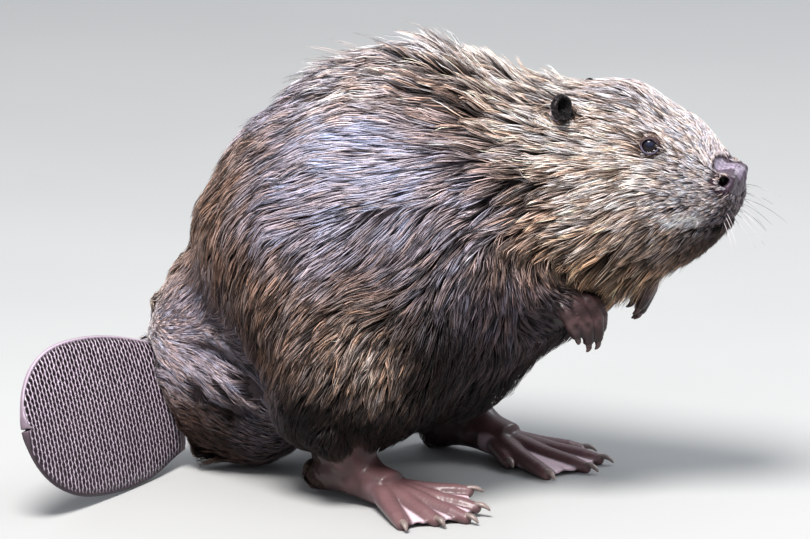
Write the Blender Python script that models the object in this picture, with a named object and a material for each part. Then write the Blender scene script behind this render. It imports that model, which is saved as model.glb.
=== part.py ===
"""A living beaver, sitting up on its hind feet, as a still model of closed solids.

Metres, +Z up.  The animal faces +X, its right side is -Y, and it rests on z = 0.
Every solid reaches out to the tips of the coat.  The trunk, neck and head are one
loft that is parted by thin cuts; limbs, ears, eyes, nose and tail are set into it
with a hair's gap.  The last step moves the whole animal so that the middle of its
bounding box stands over the origin.
"""
import math

import bmesh
import bpy
from mathutils import Matrix, Vector

# ---------------------------------------------------------------- driving sizes
GAP = 0.00035            # clearance between neighbouring solids
RING_POINTS = 24         # points round the trunk and head
VOXEL = 0.0015           # grain at which a limb's pieces are grown together
FLOOR_BITE = 0.0018      # how far soles reach below the floor before they are cut flat

EYE_PLACE = (0.2185, 0.0385, 0.2560)     # centre of the left eyeball
EYE_RADIUS = 0.0072
EAR_PLACE = (0.1570, 0.0400, 0.2780)     # centre of the left ear's root
EAR_RADIUS = 0.0125
NOSE_PLACE = (0.2705, 0.0, 0.2330)

THIGH_PLACE = (0.0280, 0.0720, 0.1020)      # centre of the left haunch
THIGH_RADII = (0.0900, 0.0540, 0.0620)
THIGH_LEAN = -42.0                          # degrees that its long axis leans to the knee
CLAW_LENGTH = 0.0085

TOES_RIGHT = ((0.075, -0.160), (0.097, -0.142), (0.117, -0.128), (0.119, -0.104), (0.108, -0.081))
TOES_LEFT = ((0.148, 0.094), (0.168, 0.065), (0.164, 0.036), (0.140, 0.006), (0.104, 0.028))
LIFTS_RIGHT = (0.0, 0.0, 0.0, 0.003, 0.010)
LIFTS_LEFT = (0.0, 0.0, 0.0, 0.0, 0.002)
HEEL_RIGHT = (-0.014, -0.064)
HEEL_LEFT = (0.030, 0.092)

# elbow, wrist, knuckles, finger ends and thumb end of each forelimb
ARM_LEFT = ((0.125, 0.052, 0.172), (0.177, 0.046, 0.153),
            ((0.191, 0.053, 0.147), (0.198, 0.047, 0.151), (0.202, 0.040, 0.152), (0.202, 0.033, 0.150)),
            ((0.187, 0.052, 0.125), (0.192, 0.046, 0.119), (0.195, 0.039, 0.120), (0.196, 0.031, 0.125)),
            (0.182, 0.031, 0.138))
ARM_RIGHT = ((0.112, -0.056, 0.168), (0.151, -0.050, 0.146),
             ((0.163, -0.057, 0.140), (0.171, -0.052, 0.143), (0.178, -0.045, 0.145),
              (0.181, -0.037, 0.144)),
             ((0.171, -0.058, 0.121), (0.179, -0.052, 0.116), (0.186, -0.044, 0.118),
              (0.187, -0.035, 0.123)),
             (0.162, -0.035, 0.130))

# planes where the body is parted: a place on each, and its normal
NECK_CUT = ((0.1520, 0.0, 0.2230), (0.934, 0.0, 0.357))
HEAD_CUT = ((0.1850, 0.0, 0.2280), (0.891, 0.0, 0.455))
JAW_CUT = ((0.2850, 0.0, 0.1990), (0.06, 0.0, -0.998))
SHANK_CUT_LEFT = ((0.030, 0.080, 0.0360), (-0.2, 0.0, 0.98))
SHANK_CUT_RIGHT = ((-0.008, -0.066, 0.0360), (-0.2, 0.0, 0.98))
FOREARM_CUT_LEFT = ((0.174, 0.047, 0.156), (-0.93, 0.0, 0.30))
FOREARM_CUT_RIGHT = ((0.149, -0.050, 0.149), (-0.90, 0.0, 0.40))
SHANK_BOX = (0.10, 0.10, 0.08)
FOREARM_BOX = (0.10, 0.06, 0.06)

PADDLE_BASE = (-0.1380, -0.0050, 0.0440)
PADDLE_ALONG = (-0.2500, -0.9630, 0.1000)
PADDLE_ACROSS = (-0.2640, 0.1650, 0.9510)
PADDLE_LENGTH = 0.2000
PADDLE_HALF_WIDTH = 0.0580

# top x, top z, bottom x, bottom z, half width, height of the widest place, squareness
BODY = (
    (-0.1220, 0.184, -0.1150, 0.158, 0.026, 0.50, 2.0),
    (-0.1110, 0.206, -0.0960, 0.120, 0.056, 0.47, 2.0),
    (-0.0950, 0.232, -0.0760, 0.088, 0.078, 0.43, 2.0),
    (-0.0660, 0.272, -0.0480, 0.055, 0.100, 0.38, 2.0),
    (-0.0270, 0.302, -0.0200, 0.036, 0.112, 0.34, 2.0),
    (0.0030, 0.316, 0.0000, 0.030, 0.114, 0.34, 2.0),
    (0.0330, 0.325, 0.0350, 0.032, 0.110, 0.36, 2.0),
    (0.0610, 0.324, 0.0700, 0.039, 0.101, 0.39, 2.0),
    (0.0900, 0.315, 0.1000, 0.054, 0.090, 0.42, 2.0),
    (0.1150, 0.304, 0.1260, 0.083, 0.079, 0.44, 2.0),
    (0.1340, 0.297, 0.1570, 0.109, 0.069, 0.46, 2.0),
    (0.1510, 0.294, 0.1850, 0.131, 0.062, 0.47, 2.1),
    (0.1720, 0.296, 0.2090, 0.149, 0.058, 0.46, 2.1),
    (0.1920, 0.296, 0.2290, 0.160, 0.053, 0.45, 2.2),
    (0.2080, 0.292, 0.2450, 0.170, 0.047, 0.45, 2.2),
    (0.2250, 0.284, 0.2575, 0.181, 0.041, 0.45, 2.3),
    (0.2400, 0.275, 0.2660, 0.191, 0.038, 0.46, 2.5),
    (0.2530, 0.265, 0.2715, 0.2005, 0.034, 0.48, 2.6),
    (0.2645, 0.252, 0.2755, 0.2095, 0.028, 0.50, 2.5),
    (0.2735, 0.239, 0.2780, 0.2180, 0.019, 0.50, 2.3),
)
RUMP_END = (-0.1255, 0.172)
NOSE_END = (0.2800, 0.2285)

# centre, tall half axis, thin half axis of each section of the tail's furred root
TAIL_ROOT = (
    ((-0.045, 0.000, 0.098), (-0.05, 0.00, 0.995, 0.080), (0.00, 1.00, 0.00, 0.064)),
    ((-0.082, 0.001, 0.090), (-0.18, 0.00, 0.984, 0.090), (0.05, 0.99, 0.00, 0.057)),
    ((-0.106, 0.003, 0.079), (-0.22, 0.02, 0.975, 0.081), (0.40, 0.91, 0.00, 0.047)),
    ((-0.124, 0.003, 0.062), (-0.24, 0.08, 0.966, 0.063), (0.75, 0.66, 0.05, 0.035)),
    ((-0.134, -0.001, 0.0500), (-0.26, 0.14, 0.955, 0.0500), (0.93, 0.28, 0.20, 0.024)),
    ((-0.139, -0.012, 0.0455), (-0.264, 0.165, 0.951, 0.0460), (0.94, -0.20, 0.29, 0.0150)),
)

MATERIALS = {
    "fur": ((0.075, 0.048, 0.036), 0.65),
    "bare_skin": ((0.115, 0.055, 0.045), 0.45),
    "tail_scales": ((0.085, 0.065, 0.075), 0.45),
    "nose_skin": ((0.060, 0.045, 0.050), 0.40),
    "eye": ((0.008, 0.007, 0.008), 0.05),
}


# ---------------------------------------------------------------- making helpers
def clear_scene():
    for item in list(bpy.data.objects):
        bpy.data.objects.remove(item, do_unlink=True)


def material(name):
    made = bpy.data.materials.get(name)
    if made is None:
        color, roughness = MATERIALS[name]
        made = bpy.data.materials.new(name)
        made.use_nodes = True
        shader = made.node_tree.nodes["Principled BSDF"]
        shader.inputs["Base Color"].default_value = (*color, 1.0)
        shader.inputs["Roughness"].default_value = roughness
        shader.inputs["Metallic"].default_value = 0.0
    return made


def new_object(name, mesh):
    made = bpy.data.objects.new(name, mesh)
    bpy.context.scene.collection.objects.link(made)
    return made


def object_from(name, bm):
    bmesh.ops.triangulate(bm, faces=bm.faces)
    bmesh.ops.recalc_face_normals(bm, faces=bm.faces)
    mesh = bpy.data.meshes.new(name)
    bm.to_mesh(mesh)
    bm.free()
    return new_object(name, mesh)


def remove(item):
    bpy.data.objects.remove(item, do_unlink=True)


def bake_modifiers(item):
    """Replace an object's mesh by the mesh that its modifiers make."""
    graph = bpy.context.evaluated_depsgraph_get()
    mesh = bpy.data.meshes.new_from_object(item.evaluated_get(graph))
    item.modifiers.clear()
    item.data = mesh
    return item


def power_wave(value, squareness):
    return math.copysign(abs(value) ** (2.0 / squareness), value)


def section(middle, wide, tall, half_width, rise, drop, squareness, count):
    """A closed ring round a middle point, with its own height above and below it."""
    points = []
    for index in range(count):
        turn = 2.0 * math.pi * index / count
        across = power_wave(math.cos(turn), squareness) * half_width
        height = power_wave(math.sin(turn), squareness)
        height *= rise if height > 0.0 else drop
        points.append(middle + wide * across + tall * height)
    return points


def loft(name, rings, start, end):
    """A closed skin over rings of equal count, drawn together at a point at each end."""
    bm = bmesh.new()
    rows = [[bm.verts.new(point) for point in ring] for ring in rings]
    count = len(rings[0])
    for near, far in zip(rows, rows[1:]):
        for index in range(count):
            following = (index + 1) % count
            bm.faces.new((near[index], near[following], far[following], far[index]))
    for tip, row in ((start, rows[0]), (end, rows[-1])):
        point = bm.verts.new(tip)
        for index in range(count):
            bm.faces.new((point, row[index], row[(index + 1) % count]))
    return object_from(name, bm)


def between(rows, steps):
    """Rows of numbers with more rows between them, on a Catmull-Rom curve."""
    last = len(rows) - 1
    made = []
    for index in range(last):
        before = rows[max(index - 1, 0)]
        here = rows[index]
        there = rows[index + 1]
        after = rows[min(index + 2, last)]
        for step in range(steps):
            t = step / steps
            made.append([
                0.5 * (2 * b + (c - a) * t + (2 * a - 5 * b + 4 * c - d) * t ** 2
                       + (3 * b - a - 3 * c + d) * t ** 3)
                for a, b, c, d in zip(before, here, there, after)])
    made.append(list(rows[-1]))
    return made


def tube(name, points, radii, count=14, flatten=1.0):
    """A round tube along points; flatten squeezes it upright."""
    route = between([(*point, radius) for point, radius in zip(points, radii)], 4)
    places = [Vector(row[:3]) for row in route]
    rings = []
    for index, place in enumerate(places):
        ahead = places[min(index + 1, len(places) - 1)]
        behind = places[max(index - 1, 0)]
        along = (ahead - behind).normalized()
        side = along.cross(Vector((0, 0, 1)))
        side = side.normalized() if side.length > 1e-4 else Vector((0, 1, 0))
        up = side.cross(along).normalized()
        radius = route[index][3]
        rings.append(section(place, side, up, radius, radius * flatten, radius * flatten, 2.0, count))
    first = places[0] - (places[1] - places[0]).normalized() * route[0][3] * 0.6
    final = places[-1] + (places[-1] - places[-2]).normalized() * route[-1][3] * 0.6
    return loft(name, rings, first, final)


def ellipsoid(name, middle, radii, turn=Matrix.Identity(3), segments=24, rings=14):
    bm = bmesh.new()
    bmesh.ops.create_uvsphere(bm, u_segments=segments, v_segments=rings, radius=1.0)
    place = Matrix.Translation(middle) @ turn.to_4x4() @ Matrix.Diagonal((*radii, 1.0))
    bm.transform(place)
    return object_from(name, bm)


def join(name, items):
    """Several closed shapes as one object."""
    bm = bmesh.new()
    for item in items:
        bm.from_mesh(item.data)
        remove(item)
    return object_from(name, bm)


def grow_together(item, triangles, voxel=VOXEL, smooth=4):
    """One skin round all the closed shapes of an object, at a number of triangles."""
    remesh = item.modifiers.new("Remesh", "REMESH")
    remesh.mode = "VOXEL"
    remesh.voxel_size = voxel
    soften = item.modifiers.new("Smooth", "SMOOTH")
    soften.factor = 0.5
    soften.iterations = smooth
    bake_modifiers(item)
    thin_out(item, triangles)
    return item


def thin_out(item, triangles):
    count = sum(len(face.vertices) - 2 for face in item.data.polygons)
    decimate = item.modifiers.new("Decimate", "DECIMATE")
    decimate.ratio = min(1.0, triangles / count)
    decimate.use_collapse_triangulate = True
    bake_modifiers(item)


def biggest_piece(item):
    """Drop the crumbs that a cut leaves."""
    bm = bmesh.new()
    bm.from_mesh(item.data)
    left = set(bm.verts)
    pieces = []
    while left:
        seed = left.pop()
        piece = {seed}
        edge = [seed]
        while edge:
            vert = edge.pop()
            for link in vert.link_edges:
                other = link.other_vert(vert)
                if other not in piece:
                    piece.add(other)
                    edge.append(other)
        left -= piece
        pieces.append(piece)
    pieces.sort(key=len)
    crumbs = [vert for piece in pieces[:-1] for vert in piece]
    bmesh.ops.delete(bm, geom=crumbs, context="VERTS")
    split = triangles_of(bm)
    bm.free()
    split.to_mesh(item.data)
    split.free()
    return item


def triangles_of(bm):
    """Split all faces so that each edge still joins exactly two of them."""
    for method in ("BEAUTY", "EAR_CLIP"):
        split = bm.copy()
        bmesh.ops.triangulate(split, faces=split.faces, ngon_method=method)
        if all(len(edge.link_faces) == 2 for edge in split.edges):
            break
    return split


def boolean(item, cutter, operation):
    cut = item.modifiers.new("Cut", "BOOLEAN")
    cut.object = cutter
    cut.operation = operation
    cut.solver = "EXACT"
    bake_modifiers(item)
    return item


def swollen(item, by):
    """A copy of a solid, grown outward by a small distance."""
    copy = new_object(item.name + "_swollen", item.data.copy())
    bm = bmesh.new()
    bm.from_mesh(copy.data)
    bm.normal_update()
    offsets = [vert.normal * by for vert in bm.verts]
    for vert, offset in zip(bm.verts, offsets):
        vert.co += offset
    bm.to_mesh(copy.data)
    bm.free()
    return copy


def make_room(host, guests):
    """Cut seats for other solids out of one, with the gap between them."""
    for guest in guests:
        cutter = swollen(guest, GAP)
        boolean(host, cutter, "DIFFERENCE")
        remove(cutter)
    biggest_piece(host)


def block(name, middle, normal, size):
    """A box whose first face lies on a plane, reaching forward along the normal."""
    bm = bmesh.new()
    bmesh.ops.create_cube(bm, size=1.0)
    turn = Vector(normal).to_track_quat("X", "Y").to_matrix().to_4x4()
    forward = Matrix.Translation((0.5, 0.0, 0.0))
    bm.transform(Matrix.Translation(middle) @ turn @ Matrix.Diagonal((*size, 1.0)) @ forward)
    return object_from(name, bm)


def part_at(item, name, middle, normal, size):
    """Part off what lies beyond a plane, within a box, as a solid of its own."""
    far = new_object(name, item.data.copy())
    keep = block("keep", Vector(middle) + Vector(normal).normalized() * GAP, normal, size)
    boolean(far, keep, "INTERSECT")
    remove(keep)
    biggest_piece(far)
    drop = block("drop", middle, normal, size)
    boolean(item, drop, "DIFFERENCE")
    remove(drop)
    biggest_piece(item)
    return far


def stand_flat(item):
    """Cut a solid flat where it meets the floor."""
    bm = bmesh.new()
    bm.from_mesh(item.data)
    geometry = list(bm.verts) + list(bm.edges) + list(bm.faces)
    cut = bmesh.ops.bisect_plane(bm, geom=geometry, dist=1e-6, plane_co=(0, 0, 0),
                                 plane_no=(0, 0, 1), clear_inner=True)
    rim = [part for part in cut["geom_cut"] if isinstance(part, bmesh.types.BMEdge)]
    if rim:
        bmesh.ops.holes_fill(bm, edges=rim, sides=0)
    bmesh.ops.dissolve_degenerate(bm, edges=bm.edges, dist=1e-5)
    bmesh.ops.triangulate(bm, faces=bm.faces)
    bmesh.ops.recalc_face_normals(bm, faces=bm.faces)
    bm.to_mesh(item.data)
    bm.free()
    return item


def mirrored(place, side):
    return Vector((place[0], place[1] * side, place[2]))


# ---------------------------------------------------------------- trunk, neck and head
def body_form():
    """The whole body from rump to nose, as one loft of leaning sections."""
    rings = []
    for row in BODY:
        top = Vector((row[0], 0.0, row[1]))
        bottom = Vector((row[2], 0.0, row[3]))
        half_width, widest, squareness = row[4:]
        middle = bottom.lerp(top, widest)
        tall = (top - bottom).normalized()
        rings.append(section(middle, Vector((0, 1, 0)), tall, half_width,
                             (top - middle).length, (middle - bottom).length,
                             squareness, RING_POINTS))
    start = Vector((RUMP_END[0], 0.0, RUMP_END[1]))
    end = Vector((NOSE_END[0], 0.0, NOSE_END[1]))
    return loft("trunk", rings, start, end)


def part_the_body(trunk):
    """Neck, head and lower jaw come off the loft at leaning planes."""
    neck = part_at(trunk, "neck", *NECK_CUT, (0.30, 0.40, 0.40))
    head = part_at(neck, "head", *HEAD_CUT, (0.30, 0.40, 0.40))
    jaw = part_at(head, "lower_jaw", *JAW_CUT, (0.20, 0.20, 0.10))
    return neck, head, jaw


# ---------------------------------------------------------------- head pieces
def make_eye(side, name):
    return ellipsoid(name, mirrored(EYE_PLACE, side), [EYE_RADIUS] * 3, segments=10, rings=7)


def make_ear(side, name):
    """A small round ear: a thick cup, open forward and outward."""
    root = mirrored(EAR_PLACE, side)
    facing = Vector((0.62, 0.72 * side, 0.10)).normalized()
    turn = facing.to_track_quat("Z", "Y").to_matrix()
    outward = Vector((-0.10, 0.62 * side, 0.55)).normalized()
    middle = root + outward * EAR_RADIUS * 0.75
    ear = ellipsoid(name, middle, (EAR_RADIUS, EAR_RADIUS * 1.08, 0.0060), turn, 14, 6)
    hollow = ellipsoid("hollow", middle + facing * 0.0062, (0.0088, 0.0092, 0.0058), turn, 10, 6)
    boolean(ear, hollow, "DIFFERENCE")
    remove(hollow)
    return biggest_piece(ear)


def make_nose():
    """The bare pad at the tip of the muzzle, broader than tall."""
    turn = Matrix.Rotation(math.radians(28.0), 3, "Y")
    return ellipsoid("nose", NOSE_PLACE, (0.0095, 0.0165, 0.0135), turn, 12, 7)


# ---------------------------------------------------------------- hind legs
def make_thigh(side, name):
    """The haunch: a broad egg that leans forward to the knee."""
    turn = Matrix.Rotation(math.radians(THIGH_LEAN), 3, "Y")
    return ellipsoid(name, mirrored(THIGH_PLACE, side), THIGH_RADII, turn, 15, 10)


def toe_route(root, tip, lift):
    """A toe from the instep over its knuckles to the floor."""
    ahead = tip - root
    ahead.z = 0.0
    points = [root]
    for share, height in ((0.34, 0.0125), (0.60, 0.0088), (0.80, 0.0068), (0.94, 0.0046)):
        point = root + ahead * share
        point.z = height + lift * share ** 2
        points.append(point)
    return points


def make_claw(name, from_point, along, lift):
    """A blunt claw beyond a toe's end, curving down to the floor."""
    ahead = Vector((along.x, along.y, 0.0)).normalized()
    start = from_point - ahead * 0.003 + Vector((0, 0, 0.0020))
    middle = from_point + ahead * 0.0040 + Vector((0, 0, 0.0014))
    tip = from_point + ahead * CLAW_LENGTH
    tip.z = 0.0018 + lift
    return tube(name, (start, middle, tip), (0.0034, 0.0027, 0.0012), 10)


def make_web(name, route_a, route_b):
    """The skin between two toes, with a scooped front edge."""
    bm = bmesh.new()
    cells = 6
    thickness = 0.0032
    far_share = 1.0
    top = []
    bottom = []
    for step in range(cells + 1):
        along = step / cells
        row_top = []
        row_bottom = []
        for cross in range(cells + 1):
            share = cross / cells
            scoop = 1.0 - 0.10 * 4.0 * share * (1.0 - share)
            t = along * far_share * scoop
            place = at_share(route_a, t).lerp(at_share(route_b, t), share)
            place.z -= 0.0030 * (1.0 + math.sin(math.pi * share) * 0.6)
            place.z = max(place.z, 0.0034)
            row_top.append(bm.verts.new(place + Vector((0, 0, thickness / 2))))
            row_bottom.append(bm.verts.new(place - Vector((0, 0, thickness / 2))))
        top.append(row_top)
        bottom.append(row_bottom)
    for a in range(cells):
        for c in range(cells):
            bm.faces.new((top[a][c], top[a + 1][c], top[a + 1][c + 1], top[a][c + 1]))
            bm.faces.new((bottom[a][c], bottom[a][c + 1], bottom[a + 1][c + 1], bottom[a + 1][c]))
    for a in range(cells):
        for c in (0, cells):
            bm.faces.new((top[a][c], bottom[a][c], bottom[a + 1][c], top[a + 1][c]))
            bm.faces.new((top[c][a], top[c][a + 1], bottom[c][a + 1], bottom[c][a]))
    return object_from(name, bm)


def at_share(points, share):
    """The place at a share of the way along a list of points."""
    spot = share * (len(points) - 1)
    index = min(int(spot), len(points) - 2)
    return points[index].lerp(points[index + 1], spot - index)


def make_foot(name, heel, tips, lifts, heel_lift, side):
    """Shank, heel, instep, five webbed toes and their claws, as one solid."""
    heel_place = Vector((*heel, 0.0))
    middle_tip = Vector((*tips[2], 0.0))
    ahead = (middle_tip - heel_place).normalized()
    across = Vector((0, 0, 1)).cross(ahead)
    pieces = []
    routes = []
    for number, (tip, lift) in enumerate(zip(tips, lifts)):
        spread = (2 - number) * 0.0060 * -side
        root = heel_place + ahead * 0.044 + across * spread + Vector((0, 0, 0.0190))
        route = toe_route(root, Vector((*tip, 0.0)), lift)
        routes.append(route)
        radii = (0.0088, 0.0076, 0.0066, 0.0066, 0.0046)
        pieces.append(tube("toe", route, radii, 14, 0.92))
        pieces.append(make_claw("claw", route[-1], route[-1] - route[-2], lift))
    for route_a, route_b in zip(routes, routes[1:]):
        pieces.append(make_web("web", route_a, route_b))
    heel_end = heel_place + Vector((0, 0, 0.0130 + heel_lift))
    instep = heel_place + ahead * 0.034 + Vector((0, 0, 0.0200))
    fore = heel_place + ahead * 0.068 + Vector((0, 0, 0.0145))
    pieces.append(tube("sole", (heel_end, instep, fore), (0.0135, 0.0175, 0.0165), 18, 0.90))
    knee_side = Vector((-0.010, 0.060 * side, 0.066))
    ankle = heel_place + ahead * 0.020 + Vector((0, 0, 0.0300))
    pieces.append(tube("shank", (knee_side, ankle.lerp(knee_side, 0.4), ankle), (0.024, 0.0205, 0.0170), 18))
    foot = join(name, pieces)
    bm = bmesh.new()
    bm.from_mesh(foot.data)
    bm.transform(Matrix.Translation((0, 0, -FLOOR_BITE)))
    bm.to_mesh(foot.data)
    bm.free()
    return stand_flat(grow_together(foot, 640))


# ---------------------------------------------------------------- forelimbs
def make_forelimb(name, elbow, wrist, knuckles, tips, thumb):
    """Forearm, palm, four fingers with claws and a small thumb, as one solid."""
    elbow, wrist = Vector(elbow), Vector(wrist)
    knuckles = [Vector(place) for place in knuckles]
    tips = [Vector(place) for place in tips]
    pieces = [tube("forearm", (elbow, elbow.lerp(wrist, 0.5), wrist), (0.0200, 0.0190, 0.0130), 18)]
    for knuckle, tip in zip(knuckles, tips):
        root = wrist.lerp(knuckle, 0.2)
        bend = knuckle.lerp(tip, 0.45) + (knuckle - wrist).normalized() * 0.0035
        pieces.append(tube("finger", (root, knuckle, bend, tip), (0.0075, 0.0062, 0.0050, 0.0036), 12))
        reach = (tip - bend).normalized()
        claw_end = tip + reach * 0.0085
        pieces.append(tube("claw", (tip - reach * 0.002, tip.lerp(claw_end, 0.5), claw_end),
                           (0.0027, 0.0023, 0.0011), 10))
    root = wrist.lerp(knuckles[0], 0.35)
    pieces.append(tube("thumb", (root, root.lerp(Vector(thumb), 0.6), Vector(thumb)),
                       (0.0055, 0.0046, 0.0034), 12))
    return grow_together(join(name, pieces), 420)


# ---------------------------------------------------------------- tail
def make_tail_root():
    """The furred root, turning from the rump's line into the paddle's."""
    rows = [(*middle, *tall, *thin) for middle, tall, thin in TAIL_ROOT]
    rings = []
    for row in between(rows, 3):
        middle = Vector(row[0:3])
        tall = Vector(row[3:6]).normalized()
        thin = Vector(row[7:10]).normalized()
        rings.append(section(middle, thin, tall, row[10], row[6], row[6], 2.2, 30))
    start = Vector(TAIL_ROOT[0][0]) + Vector((0.03, 0.0, 0.0))
    end = Vector(TAIL_ROOT[-1][0]) + Vector(PADDLE_ALONG) * 0.004
    root = loft("tail_root", rings, start, end)
    return stand_flat(grow_together(root, 280, 0.0025))


def paddle_half_width(share):
    """Half the paddle's width: a neck at the base, full at the middle, a round end."""
    grown = PADDLE_HALF_WIDTH * (0.74 + 0.26 * math.sin(min(share / 0.52, 1.0) * math.pi / 2))
    if share > 0.52:
        grown *= max(1.0 - ((share - 0.52) / 0.48) ** 2.7, 0.0) ** 0.5
    return grown


def make_paddle():
    """The flat scaled blade: a lens in section, thin at its rim, with a small notch."""
    along = Vector(PADDLE_ALONG).normalized()
    across = (Vector(PADDLE_ACROSS) - along * along.dot(Vector(PADDLE_ACROSS))).normalized()
    face = along.cross(across).normalized()
    base = Vector(PADDLE_BASE)
    rings = []
    count = 16
    rows = 14
    for row in range(rows):
        share = math.sin(row / (rows - 1) * math.pi / 2) * 0.996
        middle = base + along * PADDLE_LENGTH * share
        half = paddle_half_width(share)
        thick = 0.0062 * (1.0 - 0.55 * share)
        ring = []
        for index in range(count):
            turn = 2.0 * math.pi * index / count
            wide = math.cos(turn)
            lens = (1.0 - wide * wide) ** 0.5
            height = math.copysign(0.0016 + (thick - 0.0016) * lens, math.sin(turn))
            if abs(math.sin(turn)) < 1e-6:
                height = 0.0
            ring.append(middle + across * half * wide + face * height)
        rings.append(ring)
    return stand_flat(loft("tail_paddle", rings, base - along * 0.001,
                           base + along * PADDLE_LENGTH * 0.994))


# ---------------------------------------------------------------- the animal
def finish_piece(item, material_name):
    item.data.materials.clear()
    item.data.materials.append(material(material_name))
    for face in item.data.polygons:
        face.material_index = 0
    item.data.shade_smooth()
    item.data.set_sharp_from_angle(angle=math.radians(40.0))


def stand_over_origin(items):
    """Move every piece so that the box round them all is centred over the origin."""
    low = [min(vert.co[axis] for item in items for vert in item.data.vertices) for axis in range(2)]
    high = [max(vert.co[axis] for item in items for vert in item.data.vertices) for axis in range(2)]
    shift = Matrix.Translation((-(low[0] + high[0]) / 2, -(low[1] + high[1]) / 2, 0.0))
    for item in items:
        item.data.transform(shift)


def main():
    clear_scene()
    trunk = body_form()
    thighs = [make_thigh(1, "thigh_left"), make_thigh(-1, "thigh_right")]
    feet = [make_foot("foot_left", HEEL_LEFT, TOES_LEFT, LIFTS_LEFT, 0.0, 1),
            make_foot("foot_right", HEEL_RIGHT, TOES_RIGHT, LIFTS_RIGHT, 0.004, -1)]
    arms = [make_forelimb("hand_left", *ARM_LEFT), make_forelimb("hand_right", *ARM_RIGHT)]
    tail_root = make_tail_root()
    paddle = make_paddle()
    make_room(trunk, [tail_root] + thighs + feet + arms)
    for thigh, foot in zip(thighs, feet):
        make_room(tail_root, [thigh])
        make_room(thigh, [foot])
    make_room(tail_root, [paddle])
    neck, head, jaw = part_the_body(trunk)
    nose = make_nose()
    ears = [make_ear(1, "ear_left"), make_ear(-1, "ear_right")]
    eyes = [make_eye(1, "eye_left"), make_eye(-1, "eye_right")]
    make_room(head, ears + eyes + [nose])
    make_room(neck, ears)
    shanks = [part_at(feet[0], "shank_left", *SHANK_CUT_LEFT, SHANK_BOX),
              part_at(feet[1], "shank_right", *SHANK_CUT_RIGHT, SHANK_BOX)]
    forearms = [part_at(arms[0], "forearm_left", *FOREARM_CUT_LEFT, FOREARM_BOX),
                part_at(arms[1], "forearm_right", *FOREARM_CUT_RIGHT, FOREARM_BOX)]
    furred = [trunk, neck, head, jaw, tail_root] + thighs + shanks + forearms + ears
    for item in furred:
        finish_piece(item, "fur")
    for item in feet + arms:
        finish_piece(item, "bare_skin")
    finish_piece(paddle, "tail_scales")
    finish_piece(nose, "nose_skin")
    for item in eyes:
        finish_piece(item, "eye")
    stand_over_origin(furred + feet + arms + eyes + [paddle, nose])


main()
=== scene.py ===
import math
from contextlib import contextmanager

import bmesh
import bpy
import numpy as np
from mathutils import Matrix, Vector
from mathutils.kdtree import KDTree


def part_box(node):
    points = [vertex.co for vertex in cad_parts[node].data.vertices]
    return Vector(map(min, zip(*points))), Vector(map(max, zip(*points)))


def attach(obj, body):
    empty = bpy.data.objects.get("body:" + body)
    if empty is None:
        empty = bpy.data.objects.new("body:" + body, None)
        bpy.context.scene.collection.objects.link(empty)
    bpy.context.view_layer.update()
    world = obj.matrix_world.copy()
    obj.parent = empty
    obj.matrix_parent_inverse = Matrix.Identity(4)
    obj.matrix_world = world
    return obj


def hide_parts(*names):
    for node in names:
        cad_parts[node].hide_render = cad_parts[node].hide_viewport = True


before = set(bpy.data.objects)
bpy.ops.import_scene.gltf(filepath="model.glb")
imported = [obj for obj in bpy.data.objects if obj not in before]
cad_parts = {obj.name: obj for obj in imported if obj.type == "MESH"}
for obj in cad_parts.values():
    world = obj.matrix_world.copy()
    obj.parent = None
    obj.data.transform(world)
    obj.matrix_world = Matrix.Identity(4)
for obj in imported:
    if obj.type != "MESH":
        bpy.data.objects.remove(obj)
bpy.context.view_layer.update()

# ------------------------------------------------------------------ design places
# All places below are in the animal's design frame: it faces +X, its right side is
# -Y and the floor is z = 0.  The row frame is the same frame moved along the floor.
EYE_LEFT = Vector((0.2185, 0.0385, 0.2560))
EYE_RADIUS = 0.0072
EAR_LEFT = Vector((0.1570, 0.0400, 0.2780))
EAR_RADIUS = 0.0094
NOSE_PLACE = Vector((0.2705, 0.0, 0.2330))

low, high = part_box("eye_left")
SHIFT = (low + high) / 2 - EYE_LEFT
SHIFT.z = 0.0
SHIFT_ROW = np.array(SHIFT)

NOSTRIL_LEFT = Vector((0.2672, 0.0235, 0.2305))
SIDES = (-1, 1)
FAR = 9.0

# the skin
SEAM_SWELL = 0.0006
CORE_VOXEL = 0.0024
SKIN_VOXEL = 0.00115
SKIN_TRIANGLES = 188000
UNWRAP_TRIANGLES = 16000
SKIN_CLEARANCE = 0.00005
HARD_CLEARANCE = 0.0001
SOLE_DROP = 0.0016
WEB_CELLS = 14
WEB_THICKNESS = 0.0026
WEB_LOWEST = 0.0032
LID_HALF_WIDTH = 0.0054
LID_HALF_HEIGHT = 0.0047
HIDE_BELOW = 0.30
BEND_SHARE = 0.45
BEND_RISE = 0.0035
EAR_INNER = 0.0112
EAR_OUTER = 0.0135
WHISKERS = 10
WHISKER_ROWS = 5
WHISKER_LENGTHS = (0.020, 0.036)

# the coat: strands are walked in STEPS, and short ones keep fewer of the points
STEPS = 4
SHORT = 0.0190
SHORT_STEPS = (0, 2, 4)
LONG_STEPS = (0, 2, 3, 4)
COVER = 3.0
FINE_LOCK = 4
BROAD_LOCK = 22
EAR_FUR = 0.0042
BOWL_FUR = 0.0032
FULL_DEPTH = 0.0080
FLAT_LIFT = math.radians(10.0)
LOFTY_SHARE = 0.11
MOST_SETTLED = 0.006
EYE_CLEAR = 0.0096
EAR_CLEAR = 0.0125
COLOUR_LIMITS = (0.003, 0.97)
PIECE_TRIANGLES = 190000
COAT_CLEARANCE = 0.0002
UV_PATCH = 0.003
BLEND_BATCH = 20000
FIELDS = ("length", "lift", "depth", "clump", "root", "tip")
ALONG = np.linspace(0.0, 1.0, STEPS + 1)[None, :]
BLADE_SIDES = ((0, 1), (1, 2), (2, 0))
BLADE_ACROSS = (-0.5, 0.5, 0.0)

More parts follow.
